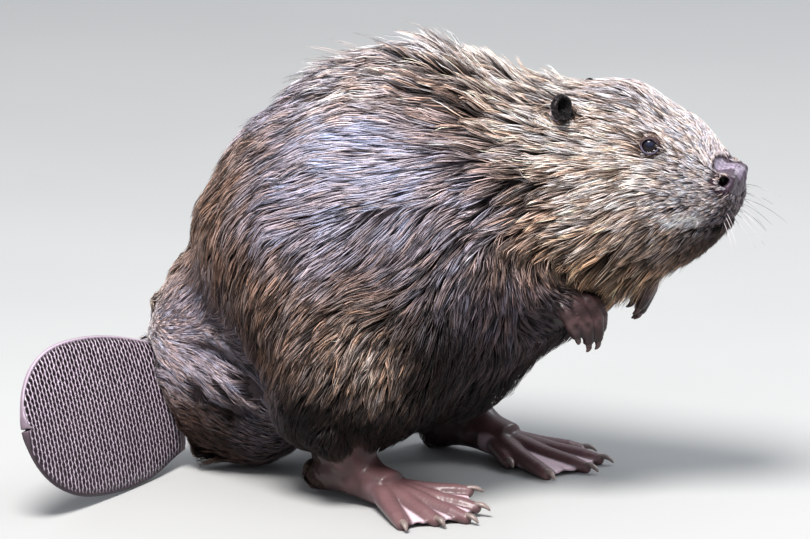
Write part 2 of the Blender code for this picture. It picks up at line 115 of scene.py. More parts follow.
CAMERA_AZIMUTH = 15.0
CAMERA_ELEVATION = 14.0
CAMERA_DISTANCE = 5.0
CAMERA_LENS = 311.1
CAMERA_TARGET = Vector((0.0219, 0.0421, 0.1403))

FLESH = ("trunk", "neck", "head", "lower_jaw", "tail_root", "thigh_left", "thigh_right",
         "shank_left", "shank_right", "forearm_left", "forearm_right")
REBUILT = ("foot_left", "foot_right", "hand_left", "hand_right", "ear_left", "ear_right", "nose")
SEED = 20

FOOT_LEFT = dict(heel=(0.030, 0.092), heel_lift=0.0, side=1, shin=(0.022, 0.082, 0.062),
                 tips=((0.148, 0.094), (0.168, 0.065), (0.164, 0.036), (0.140, 0.006), (0.104, 0.028)),
                 lifts=(0.0, 0.0, 0.0, 0.0, 0.002))
FOOT_RIGHT = dict(heel=(-0.014, -0.064), heel_lift=0.004, side=-1, shin=(0.000, -0.098, 0.062),
                  tips=((0.075, -0.160), (0.097, -0.142), (0.117, -0.128), (0.119, -0.104),
                        (0.108, -0.081)),
                  lifts=(0.0, 0.0, 0.0, 0.003, 0.010))
HAND_LEFT = dict(elbow=(0.125, 0.052, 0.172), wrist=(0.177, 0.046, 0.153),
                 knuckles=((0.191, 0.053, 0.147), (0.198, 0.047, 0.151), (0.202, 0.040, 0.152),
                           (0.202, 0.033, 0.150)),
                 tips=((0.187, 0.052, 0.125), (0.192, 0.046, 0.119), (0.195, 0.039, 0.120),
                       (0.196, 0.031, 0.125)),
                 thumb=(0.182, 0.031, 0.138))
HAND_RIGHT = dict(elbow=(0.112, -0.056, 0.168), wrist=(0.151, -0.050, 0.146),
                  knuckles=((0.162, -0.057, 0.140), (0.169, -0.052, 0.143), (0.175, -0.045, 0.144),
                            (0.177, -0.037, 0.142)),
                  tips=((0.172, -0.058, 0.121), (0.179, -0.053, 0.116), (0.184, -0.046, 0.117),
                        (0.184, -0.037, 0.122)),
                  thumb=(0.162, -0.035, 0.130))
FEET = (FOOT_LEFT, FOOT_RIGHT)
HANDS = (HAND_LEFT, HAND_RIGHT)

# the route of the crease between the rump and the tail's root, along which the coat is painted dark as shade
RUMP_CREASE = ((-0.0990, -0.0480, 0.1500), (-0.0780, -0.0590, 0.1080), (-0.0480, -0.0660, 0.0700),
               (-0.0250, -0.0800, 0.0420))
# the folds at the tail's root: the dark groove's route, dark as painted shade, then the lit ridge's route
# above it, paler as a painted highlight
TAIL_FOLDS = (
    (((-0.0940, -0.0515, 0.0800), (-0.0830, -0.0500, 0.0640), (-0.0700, -0.0500, 0.0520),
      (-0.0590, -0.0450, 0.0390)),
     ((-0.0880, -0.0525, 0.0850), (-0.0745, -0.0525, 0.0680), (-0.0570, -0.0500, 0.0500)), 0.0045),
    (((-0.1092, -0.0453, 0.0931), (-0.0809, -0.0538, 0.0894), (-0.0616, -0.0574, 0.0733),
      (-0.0500, -0.0550, 0.0500)),
     ((-0.1050, -0.0460, 0.1060), (-0.0780, -0.0540, 0.1020), (-0.0600, -0.0560, 0.0850)), 0.0015),
    (((-0.1170, -0.0400, 0.0690), (-0.1017, -0.0460, 0.0620), (-0.0866, -0.0476, 0.0500),
      (-0.0693, -0.0438, 0.0360)),
     ((-0.1150, -0.0410, 0.0780), (-0.1000, -0.0470, 0.0710), (-0.0850, -0.0490, 0.0580)), 0.0025),
)

PADDLE_BASE = Vector((-0.1380, -0.0050, 0.0440))
PADDLE_ALONG = Vector((-0.2500, -0.9630, 0.1000))
PADDLE_ACROSS = Vector((-0.2640, 0.1650, 0.9510))
PADDLE_LENGTH = 0.2000
PADDLE_HALF_WIDTH = 0.0580
PADDLE_THICKNESS = 0.0062
PADDLE_EDGE = 0.0008
PADDLE_ROUND_FROM = 0.52
PADDLE_END = 0.9945
PADDLE_GRID = (150, 90)
SCALE_ROW = 0.0043
SCALE_WIDTH = 0.0056

# ------------------------------------------------------------------ colours (linear)
COLOUR = {
    "lip": (0.97, 0.88, 0.90),
    "white": (0.80, 0.71, 0.725),
    "cream": (0.95, 0.77, 0.69),
    "silver": (0.78, 0.65, 0.65),
    "ash": (0.60, 0.50, 0.55),
    # grey fur tips with a painted bluish sky reflection
    "grey_with_painted_sheen": (0.47, 0.455, 0.565),
    "tan": (0.74, 0.54, 0.45),
    "gold": (0.54, 0.34, 0.22),
    "sand": (0.44, 0.30, 0.25),
    "grey": (0.42, 0.37, 0.44),
    "pewter": (0.31, 0.25, 0.30),
    "smoke": (0.22, 0.175, 0.19),
    "fawn": (0.27, 0.175, 0.135),
    "brown": (0.125, 0.074, 0.056),
    "umber": (0.044, 0.025, 0.020),
    "maroon": (0.017, 0.0092, 0.0082),
    "black": (0.006, 0.004, 0.0045),
    "mauve": (0.150, 0.080, 0.084),
    "web": (0.58, 0.43, 0.48),
    "wet_skin": (0.074, 0.035, 0.036),
    "dark_skin": (0.020, 0.009, 0.009),
    "lid": (0.36, 0.35, 0.52),
    # a painted reflection of the sky on the eye
    "painted_eye_sheen": (0.014, 0.018, 0.040),
    "ear": (0.22, 0.18, 0.24),
    "nose": (0.185, 0.150, 0.200),
    "nose_dark": (0.040, 0.022, 0.034),
    "iris": (0.012, 0.007, 0.006),
    # the scales' leather, then painted shade for their gaps and a painted highlight for their crests
    "scale": (0.100, 0.068, 0.088),
    "scale_painted_shade": (0.006, 0.004, 0.005),
    "scale_painted_highlight": (0.74, 0.62, 0.74),
    "horn": (0.20, 0.150, 0.135),
}

# ------------------------------------------------------------------ the lie of the coat
# place mm, direction of the hair, length mm, lift degrees, depth of coat mm, clumping,
# colour at the root, colour at the tip.  Places with a side are given for the right
# side and are mirrored to the left.
LIE = (
    (272, -4, 252, -0.8, 0.0, 0.9, 3.0, 14, 1.4, 0.5, "umber", "ash"),
    (258, -10, 266, -1.0, 0.0, 0.8, 7.0, 11, 2.2, 0.65, "umber", "white"),
    (235, -10, 282, -1.0, 0.0, 0.45, 13.0, 13, 3.2, 0.88, "maroon", "white"),
    (200, -14, 296, -1.0, 0.0, 0.05, 19.0, 16, 4.5, 0.80, "umber", "silver"),
    (250, -30, 252, -1.0, -0.2, 0.5, 7.0, 11, 2.2, 0.65, "umber", "white"),
    (268, -26, 228, -1.0, -0.3, 0.15, 3.0, 14, 1.5, 0.6, "maroon", "silver"),
    (270, -22, 210, -1.0, -0.3, -0.2, 5.5, 24, 1.9, 0.9, "black", "pewter"),
    (256, -34, 210, -0.8, -0.3, -0.5, 6.5, 20, 2.0, 0.75, "umber", "white"),
    (247, -40, 224, -1.0, -0.2, -0.1, 8.0, 14, 2.6, 0.85, "maroon", "white"),
    (232, -38, 268, -1.0, -0.1, 0.30, 11.0, 11, 2.8, 0.55, "fawn", "white"),
    (215, -48, 240, -1.0, 0.0, 0.02, 18.0, 11, 4.0, 0.70, "brown", "cream"),
    (190, -50, 262, -1.0, 0.0, 0.10, 19.0, 12, 4.5, 0.65, "fawn", "cream"),
    (185, -58, 220, -1.0, 0.0, -0.20, 25.0, 12, 5.5, 0.80, "brown", "cream"),
    (262, -16, 188, -0.6, 0.0, -0.8, 6.0, 24, 2.2, 0.8, "black", "brown"),
    (248, -24, 180, -0.6, 0.0, -0.8, 11.0, 22, 3.0, 0.85, "maroon", "fawn"),
    (230, -40, 192, -0.9, 0.0, -0.5, 16.0, 16, 3.5, 0.8, "umber", "tan"),
    (218, -18, 156, -0.5, 0.0, -0.9, 25.0, 29, 5.0, 0.95, "maroon", "gold"),
    (195, -44, 172, -0.75, 0.0, -0.7, 27.0, 19, 6.5, 0.9, "umber", "gold"),
    (182, -10, 130, -0.6, 0.0, -0.8, 22.0, 16, 7.0, 0.8, "black", "umber"),
    (150, -12, 292, -1.0, 0.0, 0.08, 24.0, 22, 9.0, 0.8, "brown", "cream"),
    (150, -50, 262, -1.0, 0.0, -0.05, 24.0, 15, 7.0, 0.85, "umber", "cream"),
    (150, -66, 215, -1.0, 0.0, -0.30, 26.0, 14, 7.0, 0.95, "black", "sand"),
    (155, -64, 180, -0.9, 0.0, -0.45, 24.0, 14, 7.0, 0.8, "maroon", "gold"),
    (130, -62, 150, -0.7, 0.0, -0.7, 22.0, 12, 7.0, 0.7, "black", "umber"),
    (110, -18, 306, -1.0, 0.0, 0.20, 30.0, 31, 16.0, 0.97, "black", "cream"),
    (60, -20, 322, -1.0, 0.0, 0.15, 34.0, 31, 19.0, 0.98, "black", "silver"),
    (10, -20, 312, -1.0, 0.0, -0.15, 34.0, 27, 19.0, 0.95, "black", "silver"),
    (-40, -25, 284, -0.9, 0.0, -0.50, 32.0, 18, 15.0, 0.8, "umber", "grey"),
    (90, -55, 280, -1.0, 0.0, -0.10, 30.0, 20, 11.0, 1.05, "black", "sand"),
    (30, -55, 285, -1.0, 0.0, -0.15, 30.0, 16, 12.0, 0.70, "brown", "silver"),
    (115, -80, 225, -1.0, 0.0, -0.25, 28.0, 14, 8.0, 0.95, "black", "grey"),
    (100, -85, 195, -0.85, 0.0, -0.50, 28.0, 12, 8.0, 0.70, "black", "grey"),
    # the upper flank's tips: grey fur with a painted bluish sky reflection
    (60, -80, 245, -1.0, 0.0, -0.20, 32.0, 6, 5.0, 0.08, "pewter", "grey_with_painted_sheen"),
    (20, -75, 255, -1.0, 0.0, -0.15, 32.0, 6, 5.0, 0.10, "pewter", "grey_with_painted_sheen"),
    (-25, -85, 225, -0.95, 0.0, -0.35, 30.0, 8, 6.5, 0.35, "brown", "grey"),
    (55, -102, 200, -0.65, 0.0, -0.75, 32.0, 8, 7.0, 0.35, "maroon", "smoke"),
    (10, -105, 190, -0.80, 0.0, -0.55, 30.0, 8, 7.0, 0.45, "umber", "grey"),
    (-60, -70, 235, -0.75, 0.0, -0.65, 30.0, 11, 8.0, 0.65, "umber", "sand"),
    (-88, -40, 210, -0.55, 0.0, -0.85, 28.0, 11, 8.0, 0.7, "maroon", "fawn"),
    (-110, -15, 180, -0.35, 0.0, -0.95, 26.0, 11, 7.0, 0.7, "maroon", "fawn"),
    (-75, -75, 165, -0.25, 0.0, -1.0, 26.0, 11, 7.5, 0.7, "maroon", "brown"),
    (-50, -92, 130, -0.30, 0.0, -0.95, 26.0, 11, 7.5, 0.85, "maroon", "brown"),
    (-30, -105, 170, -0.60, 0.0, -0.80, 26.0, 11, 8.0, 0.75, "maroon", "sand"),
    (110, -75, 150, -0.60, 0.0, -0.80, 26.0, 11, 8.0, 0.6, "black", "maroon"),
    (80, -100, 120, -0.60, 0.0, -0.85, 24.0, 12, 8.0, 0.7, "black", "maroon"),
    (30, -118, 160, -0.95, 0.0, -0.35, 26.0, 12, 8.0, 0.75, "maroon", "fawn"),
    (-5, -110, 140, -0.80, 0.0, -0.60, 24.0, 12, 8.0, 0.75, "maroon", "sand"),
    (28, -120, 112, -0.15, 0.0, -1.0, 20.0, 18, 8.0, 0.97, "maroon", "tan"),
    # the lower haunch, the knees and the belly: black and maroon, the coat's dark colour deepened as painted
    # shade of the underside
    (12, -112, 88, -0.30, 0.0, -0.95, 20.0, 13, 7.0, 0.85, "black", "maroon"),
    (35, -105, 70, -0.30, 0.1, -0.95, 14.0, 12, 5.5, 0.8, "black", "maroon"),
    (6, -106, 66, -0.40, 0.1, -0.90, 12.0, 12, 5.0, 0.8, "black", "maroon"),
    (50, -80, 50, -0.60, 0.3, -0.70, 16.0, 12, 5.0, 0.7, "black", "maroon"),
    (110, 0, 80, -0.55, 0.0, -0.90, 24.0, 10, 8.0, 0.7, "black", "maroon"),
    (70, 0, 44, -1.0, 0.0, -0.15, 20.0, 8, 6.0, 0.6, "black", "maroon"),
    (0, 0, 34, -1.0, 0.0, 0.0, 16.0, 8, 5.0, 0.5, "black", "umber"),
)
# the same, for places that have no mirror image: forelimbs, shanks and the tail's root
LIE_ALONE = (
    (120, -62, 162, 0.90, 0.10, -0.40, 18.0, 12, 4.5, 0.6, "umber", "pewter"),
    (137, -56, 152, 0.90, 0.10, -0.40, 14.0, 12, 4.0, 0.6, "umber", "pewter"),
    (152, -52, 142, 0.80, 0.00, -0.60, 6.0, 14, 0.9, 0.6, "black", "umber"),
    (155, 50, 158, 0.90, -0.10, -0.30, 13.0, 12, 4.0, 0.6, "maroon", "brown"),
    (178, 46, 148, 0.80, 0.00, -0.60, 6.0, 14, 0.9, 0.6, "black", "umber"),
    (-130, 0, 135, -0.45, -0.15, -0.90, 18.0, 7, 4.0, 0.4, "umber", "tan"),
    (-100, -45, 130, -0.60, -0.30, -0.55, 16.0, 6, 3.6, 0.20, "pewter", "ash"),
    (-120, -38, 105, -0.85, -0.30, -0.05, 15.0, 6, 3.2, 0.35, "umber", "ash"),
    (-94, -49, 88, -0.80, -0.30, 0.35, 16.0, 6, 3.2, 0.30, "umber", "grey"),
    (-68, -52, 70, -0.70, -0.40, 0.45, 16.0, 7, 3.2, 0.45, "umber", "grey"),
    (-125, -34, 75, -0.85, -0.30, 0.30, 13.0, 6, 3.0, 0.40, "umber", "ash"),
    (-85, -46, 45, -0.75, -0.40, 0.30, 13.0, 6, 3.0, 0.50, "black", "umber"),
    (-120, -28, 38, -0.80, -0.40, 0.15, 9.0, 6, 2.6, 0.35, "maroon", "brown"),
    (-140, -10, 95, -0.75, -0.50, 0.10, 11.0, 6, 3.0, 0.4, "smoke", "white"),
    (-100, 50, 120, -0.60, 0.20, -0.70, 13.0, 8, 4.0, 0.5, "umber", "fawn"),
    (-110, 45, 60, -0.70, 0.10, -0.50, 13.0, 9, 4.0, 0.5, "umber", "fawn"),
    (-140, 20, 50, -0.60, -0.30, -0.40, 11.0, 9, 3.5, 0.5, "umber", "fawn"),
    (-10, -62, 36, 0.45, -0.30, -0.90, 7.0, 10, 1.2, 0.5, "black", "umber"),
    (36, 86, 36, 0.45, -0.20, -0.90, 7.0, 10, 1.2, 0.5, "black", "umber"),
    (22, -82, 26, 0.80, -0.50, -0.20, 4.0, 8, 0.4, 0.3, "maroon", "brown"),
    (66, 84, 26, 0.90, -0.20, -0.20, 4.0, 8, 0.4, 0.3, "maroon", "brown"),
)


def mirrored(place, side):
    return Vector((place[0], place[1] * side, place[2]))


def expand_lie():
    """The lie of the coat as arrays, with the right side's places mirrored to the left."""
    rows = []
    for row in LIE:
        rows.append(row)
        x, y, z, ahead, aside, *rest = row
        if y != 0:
            rows.append((x, -y, z, ahead, -aside, *rest))
    rows.extend(LIE_ALONE)
    place = np.array([row[:3] for row in rows]) / 1000.0
    way = np.array([np.array(row[3:6]) / np.linalg.norm(row[3:6]) for row in rows])
    length, lift, depth, clump = np.array([row[6:10] for row in rows], float).T
    root, tip = (np.array([COLOUR[row[column]] for row in rows]) for column in (10, 11))
    return dict(place=place, way=way, length=length / 1000.0, lift=np.radians(lift), depth=depth / 1000.0,
                clump=clump, root=root, tip=tip)


LIE_TABLE = expand_lie()


def lie_at(points, normals, keys, reach=0.022):
    """Blend the coat's named fields at design places, nearest rows first."""
    out = {key: [] for key in keys}
    for start in range(0, len(points), BLEND_BATCH):
        spot = points[start:start + BLEND_BATCH]
        gap = np.linalg.norm(spot[:, None, :] - LIE_TABLE["place"][None, :, :], axis=2)
        closest = gap.min(axis=1, keepdims=True)
        weight = np.exp(-((gap - closest) / reach) ** 2 * 1.6) / (gap + 0.012) ** 2
        weight /= weight.sum(axis=1, keepdims=True)
        for key in keys:
            out[key].append(weight @ LIE_TABLE[key])
    result = {key: np.concatenate(parts) for key, parts in out.items()}
    if "way" in result:
        result["way"] = unit(level_with(result["way"], normals))
    return result


# ------------------------------------------------------------------ small mesh helpers
def unit(rows):
    return rows / np.maximum(np.linalg.norm(rows, axis=1, keepdims=True), 1e-9)


def level_with(ways, normals):
    """The part of each direction that lies along the skin."""
    return ways - normals * np.sum(ways * normals, axis=1, keepdims=True)


def smooth_step(low_edge, high_edge, value):
    t = np.clip((value - low_edge) / (high_edge - low_edge), 0.0, 1.0)
    return t * t * (3.0 - 2.0 * t)


def step_down(low_edge, high_edge, value):
    return 1.0 - smooth_step(low_edge, high_edge, value)


def bell(value, width):
    return np.exp(-(value / width) ** 2)


def distance(rows, place):
    return np.linalg.norm(rows - np.array(place), axis=1)


def up(height):
    return Vector((0, 0, height))


@contextmanager
def editing(mesh):
    """A mesh as a bmesh, written back when the block ends."""
    bm = bmesh.new()
    bm.from_mesh(mesh)
    yield bm
    bm.to_mesh(mesh)
    bm.free()


def read(items, name, width, kind):
    """One property of all of a mesh's items, as rows of numbers."""
    flat = np.empty(len(items) * width, kind)
    items.foreach_get(name, flat)
    return flat.reshape(-1, width)


def store(mesh, name, kind, key, values):
    """A new attribute of a mesh's vertices."""
    layer = mesh.attributes.new(name, kind, "POINT")
    layer.data.foreach_set(key, values.astype(np.float32).ravel())


def tree_of(rows):
    """A search tree over rows of places."""
    tree = KDTree(len(rows))
    for index, row in enumerate(rows):
        tree.insert(row, index)
    tree.balance()
    return tree


def nearest(tree, rows):
    return np.array([tree.find(row)[1] for row in rows])


def new_object(name, mesh):
    made = bpy.data.objects.new(name, mesh)
    bpy.context.scene.collection.objects.link(made)
    return made


def object_from(name, bm):
    bmesh.ops.recalc_face_normals(bm, faces=bm.faces)
    mesh = bpy.data.meshes.new(name)
    bm.to_mesh(mesh)
    bm.free()
    return new_object(name, mesh)


def remove(item):
    bpy.data.objects.remove(item, do_unlink=True)


def bake_modifiers(item):
    graph = bpy.context.evaluated_depsgraph_get()
    mesh = bpy.data.meshes.new_from_object(item.evaluated_get(graph))
    item.modifiers.clear()
    item.data = mesh
    return item


def section(middle, wide, tall, half_width, half_height, count):
    """A closed ring of points round a middle."""
    points = []
    for index in range(count):
        turn = 2.0 * math.pi * index / count
        points.append(middle + wide * math.cos(turn) * half_width + tall * (math.sin(turn) * half_height))
    return points


def loft(name, rings, start, end):
    bm = bmesh.new()
    rows = [[bm.verts.new(point) for point in ring] for ring in rings]
    count = len(rings[0])
    for near, far in zip(rows, rows[1:]):
        for index in range(count):
            following = (index + 1) % count
            bm.faces.new((near[index], near[following], far[following], far[index]))
    for tip, row in ((start, rows[0]), (end, rows[-1])):
        point = bm.verts.new(tip)
        for index in range(count):
            bm.faces.new((point, row[index], row[(index + 1) % count]))
    return object_from(name, bm)


def between(rows, steps):
    """Rows of numbers with more rows between them, on a Catmull-Rom curve."""
    last = len(rows) - 1
    made = []
    for index in range(last):
        before, here = rows[max(index - 1, 0)], rows[index]
        there, after = rows[index + 1], rows[min(index + 2, last)]
        for step in range(steps):
            t = step / steps
            made.append([
                0.5 * (2 * b + (c - a) * t + (2 * a - 5 * b + 4 * c - d) * t ** 2
                       + (3 * b - a - 3 * c + d) * t ** 3)
                for a, b, c, d in zip(before, here, there, after)])
    made.append(list(rows[-1]))
    return made


def tube(name, points, radii, count=18, flatten=1.0, steps=8):
    """A round tube along points; flatten squeezes it upright."""
    route = between([(*point, radius) for point, radius in zip(points, radii)], steps)
    places = [Vector(row[:3]) for row in route]
    rings = []
    for index, place in enumerate(places):
        ahead = places[min(index + 1, len(places) - 1)]
        behind = places[max(index - 1, 0)]
        along = (ahead - behind).normalized()
        side = along.cross(up(1))
        side = side.normalized() if side.length > 1e-4 else Vector((0, 1, 0))
        upright = side.cross(along).normalized()
        radius = route[index][3]
        rings.append(section(place, side, upright, radius, radius * flatten, count))
    first = places[0] - (places[1] - places[0]).normalized() * route[0][3] * 0.6
    final = places[-1] + (places[-1] - places[-2]).normalized() * route[-1][3] * 0.6
    return loft(name, rings, first, final)


def ellipsoid(name, middle, radii, turn=Matrix.Identity(3), segments=32, rings=20):
    bm = bmesh.new()
    bmesh.ops.create_uvsphere(bm, u_segments=segments, v_segments=rings, radius=1.0)
    bm.transform(Matrix.Translation(middle) @ turn.to_4x4() @ Matrix.Diagonal((*radii, 1.0)))
    return object_from(name, bm)


def coordinates(mesh):
    return read(mesh.vertices, "co", 3, np.float64)


def set_coordinates(mesh, rows):
    mesh.vertices.foreach_set("co", rows.astype(np.float32).ravel())
    mesh.update()


def vertex_normals(mesh):
    return read(mesh.vertex_normals, "vector", 3, np.float32).astype(np.float64)


def edge_ends(mesh):
    return read(mesh.edges, "vertices", 2, np.int32)


def triangle_corners(mesh):
    return read(mesh.polygons, "vertices", 3, np.int32)


def keep_above(mesh, clearance, shift=0.0):
    """Lift what lies below the floor to just above it, then move the whole mesh."""
    rows = coordinates(mesh)
    rows[:, 2] = np.maximum(rows[:, 2], clearance)
    set_coordinates(mesh, rows + shift)


def set_tone(mesh, colours, leather):
    """Store a colour for each vertex, and how leathery it is, which the materials read."""
    rows = np.ones((len(mesh.vertices), 4), np.float32)
    rows[:, :3] = colours
    rows[:, 3] = leather
    layer = mesh.color_attributes.get("tone")
    if layer is None:
        layer = mesh.color_attributes.new("tone", "FLOAT_COLOR", "POINT")
    layer.data.foreach_set("color", rows.ravel())


def relax(mesh, rounds, share):
    """Laplacian smoothing, by a share of its own for each vertex."""
    one, two = edge_ends(mesh).T
    rows = coordinates(mesh)
    count = len(rows)
    links = np.bincount(one, minlength=count) + np.bincount(two, minlength=count)
    links = np.maximum(links, 1)[:, None]
    for _ in range(rounds):
        total = np.empty_like(rows)
        for axis in range(3):
            total[:, axis] = (np.bincount(one, rows[two, axis], count)
                              + np.bincount(two, rows[one, axis], count))
        rows += (total / links - rows) * share[:, None]
    set_coordinates(mesh, rows)


def noise_at(rows, size, seed=0.0):
    """A cheap smooth noise in -1..1, from waves that don't share a period."""
    p = rows / size + seed
    value = np.zeros(len(rows))
    for k, (a, b, c, shift) in enumerate(((1.0, 0.7, 0.4, 0.0), (-0.6, 1.1, 0.5, 1.7),
                                          (0.3, -0.8, 1.2, 4.1), (1.3, 0.2, -0.9, 2.9),
                                          (-0.9, -0.5, -1.1, 5.3))):
        value += np.sin(2.1 * (a * p[:, 0] + b * p[:, 1] + c * p[:, 2]) + shift
                        + 0.8 * np.sin(1.7 * (c * p[:, 0] - a * p[:, 1] + b * p[:, 2]) + k))
    return value / 5.0


# ------------------------------------------------------------------ bare forms
def toe_route(root, tip, lift):
    ahead = tip - root
    ahead.z = 0.0
    points = [root]
    for share, height in ((0.32, 0.0140), (0.60, 0.0096), (0.80, 0.0070), (0.94, 0.0046)):
        point = root + ahead * share
        point.z = height + lift * share ** 2
        points.append(point)
    return points


def at_share(points, share):
    spot = share * (len(points) - 1)
    index = min(int(spot), len(points) - 2)
    return points[index].lerp(points[index + 1], spot - index)


def make_web(route_a, route_b):
    """The skin between two toes, with a scooped front edge."""
    bm = bmesh.new()
    cells = range(WEB_CELLS)
    top, bottom = [], []
    for step in range(WEB_CELLS + 1):
        along = step / WEB_CELLS
        top.append([])
        bottom.append([])
        for cross in range(WEB_CELLS + 1):
            share = cross / WEB_CELLS
            scoop = 1.0 - 0.07 * 4.0 * share * (1.0 - share)
            t = along * scoop
            place = at_share(route_a, t).lerp(at_share(route_b, t), share)
            place.z -= 0.0008 * math.sin(math.pi * share) - 0.0006
            place.z += 0.0006 * math.sin(share * math.pi * 5.0) * along
            place.z = max(place.z, WEB_LOWEST)
            top[-1].append(bm.verts.new(place + up(WEB_THICKNESS / 2)))
            bottom[-1].append(bm.verts.new(place - up(WEB_THICKNESS / 2)))
    for a in cells:
        for c in cells:
            bm.faces.new((top[a][c], top[a + 1][c], top[a + 1][c + 1], top[a][c + 1]))
            bm.faces.new((bottom[a][c], bottom[a][c + 1], bottom[a + 1][c + 1], bottom[a + 1][c]))
    for a in cells:
        for c in (0, WEB_CELLS):
            bm.faces.new((top[a][c], bottom[a][c], bottom[a + 1][c], top[a + 1][c]))
            bm.faces.new((top[c][a], top[c][a + 1], bottom[c][a + 1], bottom[c][a]))
    return object_from("web", bm)


def foot_frame(foot):
    heel = Vector((*foot["heel"], 0.0))
    ahead = (Vector((*foot["tips"][2], 0.0)) - heel).normalized()
    return heel, ahead, up(1).cross(ahead)


def foot_routes(foot):
    heel, ahead, across = foot_frame(foot)
    routes = []
    for number, (tip, lift) in enumerate(zip(foot["tips"], foot["lifts"])):
        spread = (2 - number) * 0.0060 * -foot["side"]
        root = heel + ahead * 0.036 + across * spread + up(0.0165)
        routes.append(toe_route(root, Vector((*tip, 0.0)), lift))
    return routes


def shin_route(foot):
    """From inside the haunch down the front of the leg to the roots of the toes."""
    heel, ahead, _ = foot_frame(foot)
    top = Vector(foot["shin"])
    low = heel + ahead * 0.062 + up(0.0165)
    middle = heel + ahead * 0.041 + up(0.0262)
    return top, top.lerp(middle, 0.55) + up(0.001), middle, low


def sole_route(foot, lift=0.0):
    heel, ahead, _ = foot_frame(foot)
    return (heel + up(0.0130 + lift), heel + ahead * 0.034 + up(0.0200),
            heel + ahead * 0.068 + up(0.0145))


def foot_forms(foot):
    """Shank, heel, instep, toes with knuckles and webs; claws are pieces of their own."""
    heel, ahead, _ = foot_frame(foot)
    routes = foot_routes(foot)
    forms = []
    for route in routes:
        forms.append(tube("toe", route, (0.0080, 0.0080, 0.0066, 0.0058, 0.0042), 20, 0.95))
        for share, size in ((0.50, 0.0064), (0.76, 0.0060)):
            knuckle = at_share(route, share)
            forms.append(ellipsoid("knuckle", knuckle + up(0.0006),
                                   (size, size, size * 0.86), segments=16, rings=10))
    for route_a, route_b in zip(routes, routes[1:]):
        forms.append(make_web(route_a, route_b))
    forms.append(tube("sole", sole_route(foot, foot["heel_lift"]), (0.0130, 0.0160, 0.0150), 24, 0.90))
    knee_side = Vector((-0.010, 0.060 * foot["side"], 0.066))
    ankle = heel + ahead * 0.018 + up(0.0280)
    shank = (knee_side, ankle.lerp(knee_side, 0.4), ankle)
    forms.append(tube("shank", shank, (0.022, 0.0175, 0.0140), 24))
    forms.append(tube("shin", shin_route(foot), (0.0185, 0.0165, 0.0142, 0.0100), 24))
    for form in forms:
        form.data.transform(Matrix.Translation((0, 0, -SOLE_DROP)))
    return forms


def finger_routes(hand):
    """Wrist, knuckle, bend and tip of each finger, then wrist and tip of the thumb."""
    wrist = Vector(hand["wrist"])
    routes = []
    for knuckle, tip in zip(hand["knuckles"], hand["tips"]):
        knuckle, tip = Vector(knuckle), Vector(tip)
        bend = knuckle.lerp(tip, BEND_SHARE) + (knuckle - wrist).normalized() * BEND_RISE
        routes.append((wrist, knuckle, bend, tip))
    routes.append((wrist, Vector(hand["thumb"])))
    return routes


def hand_forms(hand):
    """Forearm, fingers with knuckles and joints, and thumb."""
    elbow, wrist = Vector(hand["elbow"]), Vector(hand["wrist"])
    *fingers, (_, thumb) = finger_routes(hand)
    forms = [tube("forearm", (elbow, elbow.lerp(wrist, 0.5), wrist), (0.0165, 0.0160, 0.0115), 24)]
    for _, knuckle, bend, tip in fingers:
        root = wrist.lerp(knuckle, 0.2)
        forms.append(tube("finger", (root, knuckle, bend, tip), (0.0078, 0.0061, 0.0052, 0.0038), 18))
        for place, radius in ((knuckle, 0.0064), (bend, 0.0056)):
            forms.append(ellipsoid("knuckle", place, [radius] * 3, segments=14, rings=9))
    root = wrist.lerp(fingers[0][1], 0.35)
    forms.append(tube("thumb", (root, root.lerp(thumb, 0.6), thumb), (0.0055, 0.0046, 0.0034), 16))
    return forms


def ear_middle(side):
    lower = 0.0050 if side > 0 else 0.0
    return mirrored(EAR_LEFT, side) + Vector((0.0008, 0.0050 * side, 0.0030 - lower))


def ear_facing(side):
    return Vector((0.86, 0.48 * side, 0.14)).normalized()


def ear_hollow(rows, normals):
    """1 in the bowl of either ear, which short black fur lines: dark fur, made black as painted shade of the
    hollow.
    """
    share = np.zeros(len(rows))
    for side in SIDES:
        away = distance(rows, ear_middle(side))
        forward = smooth_step(-0.45, -0.10, normals @ np.array(ear_facing(side)))
        share = np.maximum(share, (away < EAR_RADIUS) * forward)
    return share


def ear_stalk(side):
    """What joins an ear to the skull below the coat."""
    inside = mirrored(EAR_LEFT, side) + Vector((0.0, -0.018 * side, -0.012))
    low_rim = ear_middle(side) - Vector((0.003, 0.003 * side, 0.004))
    return tube("ear stalk", (inside, inside.lerp(low_rim, 0.6), low_rim), (0.009, 0.0072, 0.0062), 18)


def ear_form(side):
    """A round ear: a dome behind, a bowl in front with a thick rim."""
    turn = ear_facing(side).to_track_quat("Z", "Y").to_matrix()
    middle = ear_middle(side)
    bm = bmesh.new()
    bmesh.ops.create_uvsphere(bm, u_segments=40, v_segments=28, radius=1.0)
    for vert in bm.verts:
        spread = math.hypot(vert.co.x, vert.co.y)
        if vert.co.z > 0.0:
            bowl = max(0.0, 1.0 - (spread / 0.80) ** 2)
            vert.co.z = 0.50 * vert.co.z - 1.28 * bowl
        vert.co.x *= 1.0 + 0.04 * math.sin(5.0 * vert.co.y)
    size = Matrix.Diagonal((EAR_RADIUS * 0.96, EAR_RADIUS * 1.02, 0.0080, 1.0))
    bm.transform(Matrix.Translation(middle) @ turn.to_4x4() @ size)
    return object_from("ear", bm)


def nose_form():
    """The pad of the nose: two rounded wings and a groove between them."""
    turn = Matrix.Rotation(math.radians(-18.0), 3, "Y")
    middle = NOSE_PLACE + Vector((-0.0012, 0, -0.0020))
    forms = [ellipsoid("nose", middle, (0.0088, 0.0170, 0.0130), turn)]
    for side in SIDES:
        forms.append(ellipsoid("wing", NOSE_PLACE + Vector((-0.0058, 0.0165 * side, -0.0030)),
                               (0.0108, 0.0102, 0.0112), turn))
    return forms


